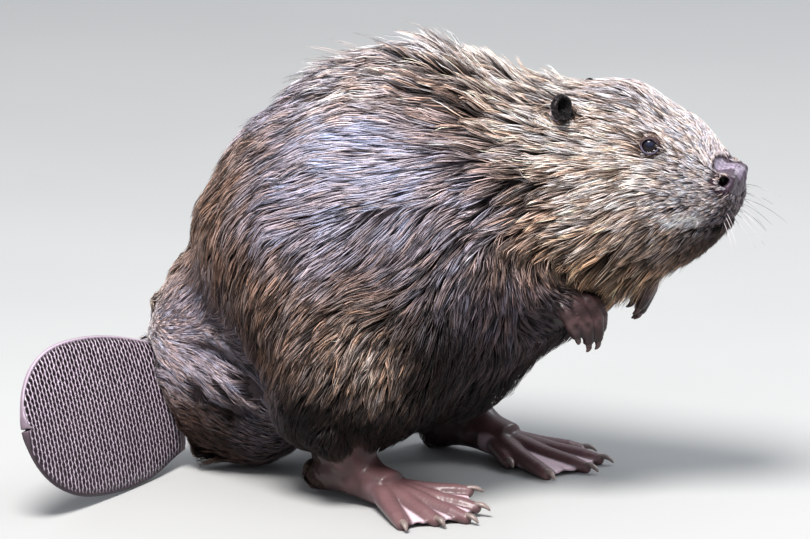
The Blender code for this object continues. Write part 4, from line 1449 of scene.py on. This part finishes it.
def build_pieces(strands):
    """One joined mesh for each region of the coat, split where it would be too large."""
    free = np.ones(len(strands["roots"]), bool)
    pieces = []
    for name, test in REGIONS:
        chosen = np.flatnonzero(free & test(strands["roots"]))
        free[chosen] = False
        short = strands["length"][chosen] < SHORT
        triangles = short.sum() * blade_triangles(SHORT_STEPS) + (~short).sum() * blade_triangles(LONG_STEPS)
        parts = max(1, math.ceil(triangles / PIECE_TRIANGLES))
        for part in range(parts):
            suffix = "" if parts == 1 else "_" + "abcdefgh"[part]
            pieces.append(build_coat(name + suffix, strands, chosen[part::parts]))
    return [piece for piece in pieces if piece]


def build_coat(name, strands, chosen):
    """Three-sided blades, ridged above, closed at the root and drawn to a point."""
    if not len(chosen):
        return None
    short = strands["length"][chosen] < SHORT
    blocks = []
    base = 0
    for group, keep in ((chosen[short], SHORT_STEPS), (chosen[~short], LONG_STEPS)):
        if len(group):
            blocks.append(blades(strands, group, keep, base))
            base += len(blocks[-1]["points"])
    whole = {key: np.concatenate([block[key] for block in blocks]) for key in blocks[0]}
    points, faces = whole["points"], whole["faces"]
    points[:, 2] = np.maximum(points[:, 2], COAT_CLEARANCE)
    mesh = bpy.data.meshes.new(name)
    mesh.vertices.add(len(points))
    mesh.vertices.foreach_set("co", (points + SHIFT_ROW).astype(np.float32).ravel())
    mesh.loops.add(len(faces) * 3)
    mesh.loops.foreach_set("vertex_index", faces.astype(np.int32).ravel())
    mesh.polygons.add(len(faces))
    mesh.polygons.foreach_set("loop_start", np.arange(0, len(faces) * 3, 3, dtype=np.int32))
    mesh.update(calc_edges=True)
    layer = mesh.uv_layers.new(name="OFBake")
    layer.data.foreach_set("uv", whole["uv"][faces.ravel()].astype(np.float32).ravel())
    set_tone(mesh, whole["colours"], np.zeros(len(points)))
    for key in ("fibre", "play"):
        store(mesh, key, "FLOAT", "value", whole[key])
    return new_object(name, mesh)


def blades(strands, group, keep, base):
    """The points, faces and attributes of a group of strands that keep the same points."""
    keep = list(keep)
    shares = (strands[key][group][:, keep] for key in ("paths", "facing", "sideways", "colours"))
    paths, facing, side, tone = shares
    rings = len(keep) - 1
    count = len(group)
    t = np.array(keep[:-1]) / STEPS
    shape = (0.90 + 0.25 * t) * (1.0 - t ** 1.7)
    half = (strands["width"][group][:, None] / 2) * shape[None, :]
    spine = paths[:, :-1]
    left = spine + side[:, :-1] * half[:, :, None]
    right = spine - side[:, :-1] * half[:, :, None]
    ridge = spine + facing[:, :-1] * (half * 0.75)[:, :, None]
    tube_rows = np.stack((left, right, ridge), axis=2).reshape(count, rings * 3, 3)
    points = np.concatenate((tube_rows, paths[:, -1:]), axis=1)
    each = rings * 3 + 1
    faces = [(0, 1, 2)]
    for ring in range(rings - 1):
        a, b = ring * 3, ring * 3 + 3
        for one, two in BLADE_SIDES:
            faces.append((a + one, b + two, a + two))
            faces.append((a + one, b + one, b + two))
    last = (rings - 1) * 3
    for one, two in BLADE_SIDES:
        faces.append((last + one, each - 1, last + two))
    faces = np.array(faces)
    offsets = base + np.arange(count)[:, None, None] * each
    ring_tone = np.repeat(tone[:, :-1], 3, axis=1)
    colours = np.concatenate((ring_tone, tone[:, -1:]), axis=1).reshape(-1, 3)
    fibre = np.floor(hashed(group, 12) * 997.0)[:, None] + np.tile(BLADE_ACROSS, rings)[None, :]
    fibre = np.concatenate((fibre, fibre[:, 2:3]), axis=1)
    play = np.repeat(strands["play"][group], each)
    patch = np.zeros((each, 2))
    for ring in range(rings):
        for corner, across in enumerate(BLADE_ACROSS):
            patch[ring * 3 + corner] = (across * UV_PATCH, (t[ring] - 0.5) * UV_PATCH)
    patch[-1] = (0.0, 0.5 * UV_PATCH)
    uv = strands["uv"][group][:, None, :] + patch[None, :, :]
    return dict(points=points.reshape(-1, 3), faces=(faces[None] + offsets).reshape(-1, 3),
                colours=colours, uv=uv.reshape(-1, 2), fibre=fibre.ravel(), play=play)


# ------------------------------------------------------------------ eyes, claws, whiskers
def make_eyeball(side):
    """A moist, nearly black ball: a dark brown iris round a wide pupil, with a painted bluish reflection
    high on it.
    """
    name = "eyeball_left" if side > 0 else "eyeball_right"
    ball = ellipsoid(name, mirrored(EYE_LEFT, side), [EYE_RADIUS] * 3, segments=64, rings=48)
    rows = coordinates(ball.data)
    u, v, w, _ = eye_plane(rows, side)
    flat = np.hypot(u, v)
    tone = plain_tone("black", len(rows))
    ring = smooth_step(0.0018, 0.0030, flat) * (w > 0)
    tone = blend(tone, "iris", ring * (0.7 + 0.3 * noise_at(rows, 0.0006)))
    # painted reflection: a soft bluish patch of sky reflection high on the eye
    sheen = np.exp(-(u / 0.0030) ** 2 - ((v - 0.0016) / 0.0020) ** 2) * (w > 0)
    tone = blend(tone, "painted_eye_sheen", sheen)
    tone = blend(tone, "black", smooth_step(0.0040, 0.0050, flat))
    set_tone(ball.data, tone, np.ones(len(rows)))
    ball.data.transform(Matrix.Translation(SHIFT))
    return ball


def join_forms(name, forms):
    bm = bmesh.new()
    for form in forms:
        bm.from_mesh(form.data)
        remove(form)
    made = object_from(name, bm)
    made.data.transform(Matrix.Translation(SHIFT))
    return made


def foot_claws(foot, name):
    forms = []
    for route, lift in zip(foot_routes(foot), foot["lifts"]):
        end, along = route[-1], route[-1] - route[-2]
        ahead = Vector((along.x, along.y, 0.0)).normalized()
        points = [end - ahead * 0.0030 + up(0.0012),
                  end + ahead * 0.0022 + up(0.0013),
                  end + ahead * 0.0058 + up(0.0001),
                  end + ahead * 0.0086]
        points[3].z = 0.0022 + lift
        forms.append(tube("claw", points, (0.0025, 0.0025, 0.0019, 0.0008), 20, 0.75))
    made = join_forms(name, forms)
    keep_above(made.data, HARD_CLEARANCE)
    return made


def hand_claws(hand, name):
    forms = []
    for wrist, knuckle, bend, tip in finger_routes(hand)[:-1]:
        reach = (tip - bend).normalized()
        curl = (wrist - knuckle).normalized()
        points = (tip - reach * 0.003, tip + reach * 0.0018, tip + reach * 0.0042 + curl * 0.0008,
                  tip + reach * 0.0062 + curl * 0.0024)
        forms.append(tube("claw", points, (0.0026, 0.0022, 0.0016, 0.0006), 16))
    return join_forms(name, forms)


def paint_claws(item):
    rows = coordinates(item.data)
    tone = plain_tone("wet_skin" if item.name.startswith("claws_hand") else "horn", len(rows))
    tone = tone * (0.9 + 0.3 * noise_at(rows, 0.003))[:, None]
    set_tone(item.data, tone, np.ones(len(rows)))


def make_whiskers():
    rng = np.random.default_rng(SEED + 1)
    forms = []
    for side in SIDES:
        for number in range(WHISKERS):
            column, row = divmod(number, WHISKER_ROWS)
            aside = (0.0150 + 0.0052 * column) * side
            place = Vector((0.2715 - 0.0052 * column, aside, 0.2185 - 0.0036 * row))
            place += Vector(rng.uniform(-0.0008, 0.0008, 3))
            length = rng.uniform(*WHISKER_LENGTHS)
            way = Vector((1.0 - 0.45 * column, (0.45 + 0.25 * column) * side, 0.05 - 0.16 * row))
            way.normalize()
            sag = Vector((-0.10, 0.0, -1.0)) * length
            points = [place + way * length * t + sag * 0.30 * t * t for t in (0.0, 0.35, 0.7, 1.0)]
            forms.append(tube("whisker", points, (0.00020, 0.00016, 0.00011, 0.00005), 5, steps=4))
    whiskers = join_forms("whiskers", forms)
    rows = coordinates(whiskers.data)
    dark = (noise_at(rows, 0.02) > -0.1)[:, None]
    tone = plain_tone("white", len(rows)) * np.where(dark, 0.12, 0.7)
    set_tone(whiskers.data, tone, np.zeros(len(rows)))
    return whiskers


# ------------------------------------------------------------------ the paddle
def paddle_half_width(share):
    """Half the paddle's width: a neck at the base, full at the middle, a round end."""
    turn = np.minimum(share / PADDLE_ROUND_FROM, 1.0) * math.pi / 2
    grown = PADDLE_HALF_WIDTH * (0.74 + 0.26 * np.sin(turn))
    past = np.maximum(share - PADDLE_ROUND_FROM, 0.0) / (1.0 - PADDLE_ROUND_FROM)
    return grown * np.maximum(1.0 - past ** 2.7, 0.0) ** 0.5


def paddle_grid():
    """Shares along and across the paddle, closer together toward its edges."""
    rows, columns = PADDLE_GRID
    lengthwise = np.sin(np.linspace(0.0, 1.0, rows) * math.pi / 2 * 0.985) * 0.5
    lengthwise = lengthwise / lengthwise[-1] * PADDLE_END
    spread = np.sin(np.linspace(-1.0, 1.0, columns) * math.pi / 2)
    spread = spread * 0.35 + np.linspace(-1.0, 1.0, columns) * 0.65
    return np.meshgrid(lengthwise, spread, indexing="ij")


def paddle_tone(s, w, rim, sore, sheet):
    """Dark leather, lighter above as painted light, with a painted highlight along the upper edge, painted
    shade along the lower edge and a rubbed patch low at the base.
    """
    tone = np.array(COLOUR["scale"])[None, None, :] * np.ones(s.shape)[..., None]
    # painted light: the blade lighter toward its upper side
    tone = tone * (0.75 + 0.5 * smooth_step(-0.8, 0.7, w)[..., None])
    # the band along the edge: a painted highlight toward the upper side, painted shade toward the lower
    border = bell(rim - 0.0012, 0.0010)[..., None]
    bright = (smooth_step(-0.2, 0.6, w) * 0.55)[..., None]
    shaded = (smooth_step(0.1, -0.4, w) * 0.8)[..., None]
    for colour, share in (("scale_painted_highlight", bright), ("scale_painted_shade", shaded)):
        tone = tone + (np.array(COLOUR[colour]) - tone) * border * share
    tone = tone + (np.array(COLOUR["web"]) * 0.6 - tone) * sore[..., None]
    wear = 1.0 + 0.16 * noise_at(sheet.reshape(-1, 3), 0.03).reshape(s.shape)
    return tone * wear[..., None]


def paddle_faces(rows, columns):
    """The faces of the near sheet and, turned over, of the far one."""
    index = np.arange(rows * columns).reshape(rows, columns)
    quads = np.stack((index[:-1, :-1], index[1:, :-1], index[1:, 1:], index[:-1, 1:]), axis=-1)
    quads = quads.reshape(-1, 4)
    return np.concatenate((quads, quads[:, ::-1] + rows * columns))


def make_paddle():
    """The blade with its scales, a soft rim, a groove behind it and a notch at the tip."""
    along = PADDLE_ALONG.normalized()
    across = (PADDLE_ACROSS - along * along.dot(PADDLE_ACROSS)).normalized()
    face = along.cross(across).normalized()
    s, w = paddle_grid()
    lower = smooth_step(0.0, 0.8, -w)
    half = paddle_half_width(s) * (1.0 - lower * (0.06 + 0.11 * step_down(0.0, 0.26, s)))
    notch = bell(w - 0.12, 0.05) * smooth_step(0.96, 0.995, s) * 0.010
    thick = PADDLE_THICKNESS * (1.0 - 0.55 * s)
    height = PADDLE_EDGE + (thick - PADDLE_EDGE) * np.sqrt(np.maximum(1.0 - w * w, 0.0))
    lengthwise = s * PADDLE_LENGTH
    sideways = w * half
    rim = np.minimum((1.0 - np.abs(w)) * half, (PADDLE_END - s) * PADDLE_LENGTH)
    lift = -bell(rim - 0.0030, 0.0011) * 0.0005
    sheets = []
    for sign in (1.0, -1.0):
        rise = sign * (height + lift * smooth_step(0.0, 0.002, rim))
        rise = np.where(np.abs(w) > 0.999, 0.0, rise)
        sheets.append(np.array(PADDLE_BASE) + np.array(along) * (lengthwise - notch)[..., None]
                      + np.array(across) * sideways[..., None] + np.array(face) * rise[..., None])
    sore = step_down(0.01, 0.05, s) * smooth_step(0.1, 0.5, -w)
    tone = paddle_tone(s, w, rim, sore, sheets[0])
    points = np.concatenate([sheet.reshape(-1, 3) for sheet in sheets])
    mesh = bpy.data.meshes.new("paddle_scales")
    mesh.from_pydata(points.tolist(), [], paddle_faces(*s.shape).tolist())
    set_tone(mesh, np.concatenate([tone.reshape(-1, 3)] * 2), np.ones(len(points)))
    # how strongly the scales' painted shade and highlights show: not on the rim or the rubbed patch, and
    # more toward the upper side
    shown = smooth_step(0.0012, 0.0040, rim) * (1.0 - sore) * (0.80 + 0.20 * smooth_step(-0.8, 0.7, w))
    pattern = np.stack((lengthwise, sideways, shown), axis=-1).reshape(-1, 3)
    store(mesh, "place", "FLOAT_VECTOR", "vector", np.concatenate([pattern] * 2))
    with editing(mesh) as bm:
        bmesh.ops.remove_doubles(bm, verts=bm.verts, dist=2e-5)
        bmesh.ops.holes_fill(bm, edges=open_edges(bm))
        if open_edges(bm):
            bmesh.ops.contextual_create(bm, geom=open_edges(bm))
        bmesh.ops.triangulate(bm, faces=bm.faces)
        bmesh.ops.recalc_face_normals(bm, faces=bm.faces)
    keep_above(mesh, HARD_CLEARANCE, SHIFT_ROW)
    return new_object("paddle_scales", mesh)


def open_edges(bm):
    return [edge for edge in bm.edges if edge.is_boundary]


# ------------------------------------------------------------------ materials
def new_material(name):
    material = bpy.data.materials.new(name)
    material.use_nodes = True
    return material


def feed(owner, socket, value):
    """Give an input of a material or the world a number, a colour or another node's output."""
    if isinstance(value, bpy.types.NodeSocket):
        owner.node_tree.links.new(value, socket)
    else:
        socket.default_value = value


def set_inputs(owner, node, inputs):
    for key, value in inputs.items():
        feed(owner, node.inputs[key.replace("_", " ")], value)


def add(owner, kind, outlet, **inputs):
    """A new node's output."""
    node = owner.node_tree.nodes.new("ShaderNode" + kind)
    set_inputs(owner, node, inputs)
    return node.outputs[outlet]


def finish_with(material, **inputs):
    """Set inputs of the material's own shader."""
    set_inputs(material, material.node_tree.nodes["Principled BSDF"], inputs)


def base_colour(material):
    """What feeds the shader's colour so far."""
    shader = material.node_tree.nodes["Principled BSDF"]
    return shader.inputs["Base Color"].links[0].from_socket


def attribute(material, name, outlet):
    output = add(material, "Attribute", outlet)
    output.node.attribute_name = name
    return output


def maths(material, operation, *values):
    """A Math node's output, its inputs being numbers or other nodes' outputs."""
    node = material.node_tree.nodes.new("ShaderNodeMath")
    node.operation = operation
    for socket, value in zip(node.inputs, values):
        feed(material, socket, value)
    return node.outputs[0]


def scaled(material, colour, value):
    """A colour multiplied by a value."""
    output = add(material, "VectorMath", "Vector", Vector=colour)
    output.node.operation = "SCALE"
    feed(material, output.node.inputs["Scale"], value)
    return output


def toned_material(name, grain, contrast, roughness, bump_size, bump_depth, gloss=0.5, coat=0.0,
                   coat_rough=0.2):
    """The piece's own markings, with fine variation, uneven gloss and a fine bump."""
    material = new_material(name)
    tone = attribute(material, "tone", "Color")
    space = add(material, "TexCoord", "Object")
    noise = add(material, "TexNoise", "Fac", Vector=space, Scale=1.0 / grain, Detail=4.0, Roughness=0.6)
    bright = add(material, "MapRange", "Result", Value=noise, To_Min=1.0 - contrast, To_Max=1.0 + contrast)
    rough = add(material, "MapRange", "Result", Value=noise, To_Min=roughness * 0.80,
                To_Max=roughness * 1.25)
    finish_with(material, Base_Color=scaled(material, tone, bright), Roughness=rough,
                Specular_IOR_Level=gloss, Coat_Weight=coat, Coat_Roughness=coat_rough)
    if bump_depth > 0.0:
        pattern = add(material, "TexNoise", "Fac", Vector=space, Scale=1.0 / bump_size, Detail=3.0)
        raise_by(material, pattern, 0.8, bump_depth)
    return material


def raise_by(material, height, strength, depth):
    """Let a value raise the surface."""
    bump = add(material, "Bump", "Normal", Strength=strength, Distance=depth, Height=height)
    finish_with(material, Normal=bump)


def fur_material():
    """The locks' markings, with fine hairs drawn along each lock by its fibre value."""
    material = toned_material("fur", 0.0020, 0.15, 0.42, 0.001, 0.0, gloss=0.25)
    hairs = add(material, "TexNoise", "Fac", Scale=5.0, Detail=1.0)
    hairs.node.noise_dimensions = "1D"
    feed(material, hairs.node.inputs["W"], attribute(material, "fibre", "Fac"))
    shade = add(material, "MapRange", "Result", Value=hairs, From_Min=0.30, From_Max=0.70,
                To_Min=0.58, To_Max=1.34)
    less = maths(material, "SUBTRACT", shade, 1.0)
    shown = maths(material, "MULTIPLY_ADD", less, attribute(material, "play", "Fac"), 1.0)
    finish_with(material, Base_Color=scaled(material, base_colour(material), shown))
    raise_by(material, hairs, 0.7, 0.00025)
    return material


def scale_material():
    """Painted shade in gaps like small lenses in staggered rows, a painted highlight on the crest beside
    each.
    """
    material = toned_material("scales", 0.0012, 0.15, 0.40, 0.0007, 0.0, gloss=0.22, coat=0.12,
                              coat_rough=0.25)
    place = attribute(material, "place", "Vector")
    wander = add(material, "TexNoise", "Fac", Vector=place, Scale=260.0, Detail=1.0)
    split = add(material, "SeparateXYZ", "X", Vector=place).node.outputs
    drift = maths(material, "SUBTRACT", wander, 0.5)
    along = maths(material, "DIVIDE", split["X"], SCALE_ROW)
    along = maths(material, "MULTIPLY_ADD", drift, 0.55, along)
    across = maths(material, "DIVIDE", split["Y"], SCALE_WIDTH)
    across = maths(material, "MULTIPLY_ADD", drift, 0.45, across)
    row = maths(material, "ROUND", along)
    parity = maths(material, "MULTIPLY", maths(material, "PINGPONG", row, 1.0), 0.5)
    across = maths(material, "ADD", across, parity)
    aside = maths(material, "SUBTRACT", across, maths(material, "ROUND", across))
    ahead = maths(material, "SUBTRACT", along, row)

    def lens(middle, thick, wide, soft):
        a = maths(material, "DIVIDE", maths(material, "SUBTRACT", ahead, middle), thick)
        b = maths(material, "DIVIDE", aside, wide)
        squares = [maths(material, "MULTIPLY", value, value) for value in (a, b)]
        gap = maths(material, "SQRT", maths(material, "ADD", *squares))
        ramp = add(material, "MapRange", "Result", Value=gap, From_Min=1.0, From_Max=soft)
        ramp.node.interpolation_type = "SMOOTHSTEP"
        return ramp

    # painted shade fills each lens-shaped gap, a painted highlight each crest beside it
    gap = maths(material, "MULTIPLY", lens(0.04, 0.40, 0.58, 0.55), split["Z"])
    beside = maths(material, "SUBTRACT", 1.0, lens(0.02, 0.50, 0.66, 0.80))
    crest = maths(material, "MULTIPLY", beside, split["Z"])
    base = base_colour(material)
    for share, colour in ((crest, "scale_painted_highlight"), (gap, "scale_painted_shade")):
        mixer = material.node_tree.nodes.new("ShaderNodeMix")
        mixer.data_type = "RGBA"
        for number, value in ((0, share), (6, base), (7, (*COLOUR[colour], 1.0))):
            feed(material, mixer.inputs[number], value)
        base = mixer.outputs[2]
    finish_with(material, Base_Color=base)
    relief = maths(material, "SUBTRACT", maths(material, "MULTIPLY", crest, 0.5), gap)
    raise_by(material, relief, 0.8, 0.0007)
    return material


# ------------------------------------------------------------------ stage, light and camera
def set_ramp(ramp, low_colour, high_colour):
    for stop, colour in zip(ramp.color_ramp.elements, (low_colour, high_colour)):
        stop.color = (*colour, 1.0)


def make_stage():
    bm = bmesh.new()
    bmesh.ops.create_grid(bm, x_segments=1, y_segments=1, size=6.0)
    floor = object_from("floor", bm)
    material = new_material("floor")
    noise = add(material, "TexNoise", "Fac", Scale=30.0, Detail=3.0)
    ramp = add(material, "ValToRGB", "Color", Fac=noise)
    set_ramp(ramp.node, (0.31, 0.31, 0.305), (0.35, 0.35, 0.345))
    finish_with(material, Base_Color=ramp, Roughness=0.7)
    floor.data.materials.append(material)


def add_light(name, place, aim, size, power, colour):
    light = bpy.data.lights.new(name, "AREA")
    light.shape = "DISK"
    light.size = size
    light.energy = power
    light.color = colour
    lamp = bpy.data.objects.new(name, light)
    bpy.context.scene.collection.objects.link(lamp)
    lamp.location = place
    lamp.rotation_euler = (Vector(aim) - Vector(place)).to_track_quat("-Z", "Y").to_euler()


def make_light():
    world = bpy.data.worlds.new("studio")
    world.use_nodes = True
    bpy.context.scene.world = world
    height = add(world, "SeparateXYZ", "Z", Vector=add(world, "TexCoord", "Generated"))
    ramp = add(world, "ValToRGB", "Color", Fac=height)
    set_ramp(ramp.node, (0.22, 0.23, 0.25), (0.95, 1.0, 1.08))
    set_inputs(world, world.node_tree.nodes["Background"], dict(Color=ramp, Strength=1.1))
    add_light("key", (-0.2, -1.1, 2.6), (0.0, 0.0, 0.15), 1.2, 170.0, (1.0, 0.98, 0.96))
    add_light("rim", (1.4, 1.6, 1.8), (0.0, 0.0, 0.18), 1.2, 30.0, (0.92, 0.96, 1.0))
    bpy.context.scene.view_settings.view_transform = "Standard"


def make_camera():
    """15 degrees round, 14 degrees down, a long lens."""
    azimuth, elevation = math.radians(CAMERA_AZIMUTH), math.radians(CAMERA_ELEVATION)
    level = math.cos(elevation)
    back = Vector((math.sin(azimuth) * level, -math.cos(azimuth) * level, math.sin(elevation)))
    camera = bpy.data.cameras.new("camera")
    camera.lens = CAMERA_LENS
    camera.sensor_width = 36.0
    camera.clip_end = 50.0
    holder = bpy.data.objects.new("camera", camera)
    bpy.context.scene.collection.objects.link(holder)
    holder.location = SHIFT + back * CAMERA_DISTANCE
    holder.rotation_euler = (holder.location - CAMERA_TARGET - SHIFT).to_track_quat("Z", "Y").to_euler()
    bpy.context.scene.camera = holder


# ------------------------------------------------------------------ the animal
def dress(piece, material, nodes=()):
    """Give a finished piece its material, smooth shading and body, and hide the CAD nodes it stands for."""
    piece.data.materials.clear()
    piece.data.materials.append(material)
    piece.data.shade_smooth()
    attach(piece, "root")
    if nodes:
        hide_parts(*nodes)


def main():
    make_stage()
    make_light()
    make_camera()
    skin = make_skin()
    rows = coordinates(skin.data) - SHIFT_ROW
    tone, leather = skin_colours(rows, vertex_normals(skin.data))
    set_tone(skin.data, tone, leather)
    coat = grow_coat(skin)
    skin_look = toned_material("skin", 0.0012, 0.25, 0.40, 0.0008, 0.0003, gloss=0.22, coat=0.24,
                               coat_rough=0.20)
    fur_look = fur_material()
    dress(skin, skin_look, FLESH + REBUILT)
    skin.data.materials.append(toned_material("hide", 0.0012, 0.25, 0.80, 0.0008, 0.0, gloss=0.04))
    covered = leather[triangle_corners(skin.data)].mean(axis=1) < HIDE_BELOW
    skin.data.polygons.foreach_set("material_index", covered.astype(np.int32))
    for piece in coat:
        dress(piece, fur_look)
    eye_look = toned_material("eye", 0.002, 0.15, 0.05, 0.001, 0.0, gloss=0.24)
    for side, node in ((1, "eye_left"), (-1, "eye_right")):
        dress(make_eyeball(side), eye_look, (node,))
    horn = toned_material("claw", 0.0015, 0.25, 0.35, 0.0006, 0.0001)
    for made in (foot_claws(FOOT_LEFT, "claws_foot_left"), foot_claws(FOOT_RIGHT, "claws_foot_right"),
                 hand_claws(HAND_LEFT, "claws_hand_left"), hand_claws(HAND_RIGHT, "claws_hand_right")):
        paint_claws(made)
        dress(made, horn)
    whisker_look = toned_material("whisker", 0.002, 0.2, 0.35, 0.001, 0.0)
    dress(make_whiskers(), whisker_look)
    dress(make_paddle(), scale_material(), ("tail_paddle",))


main()
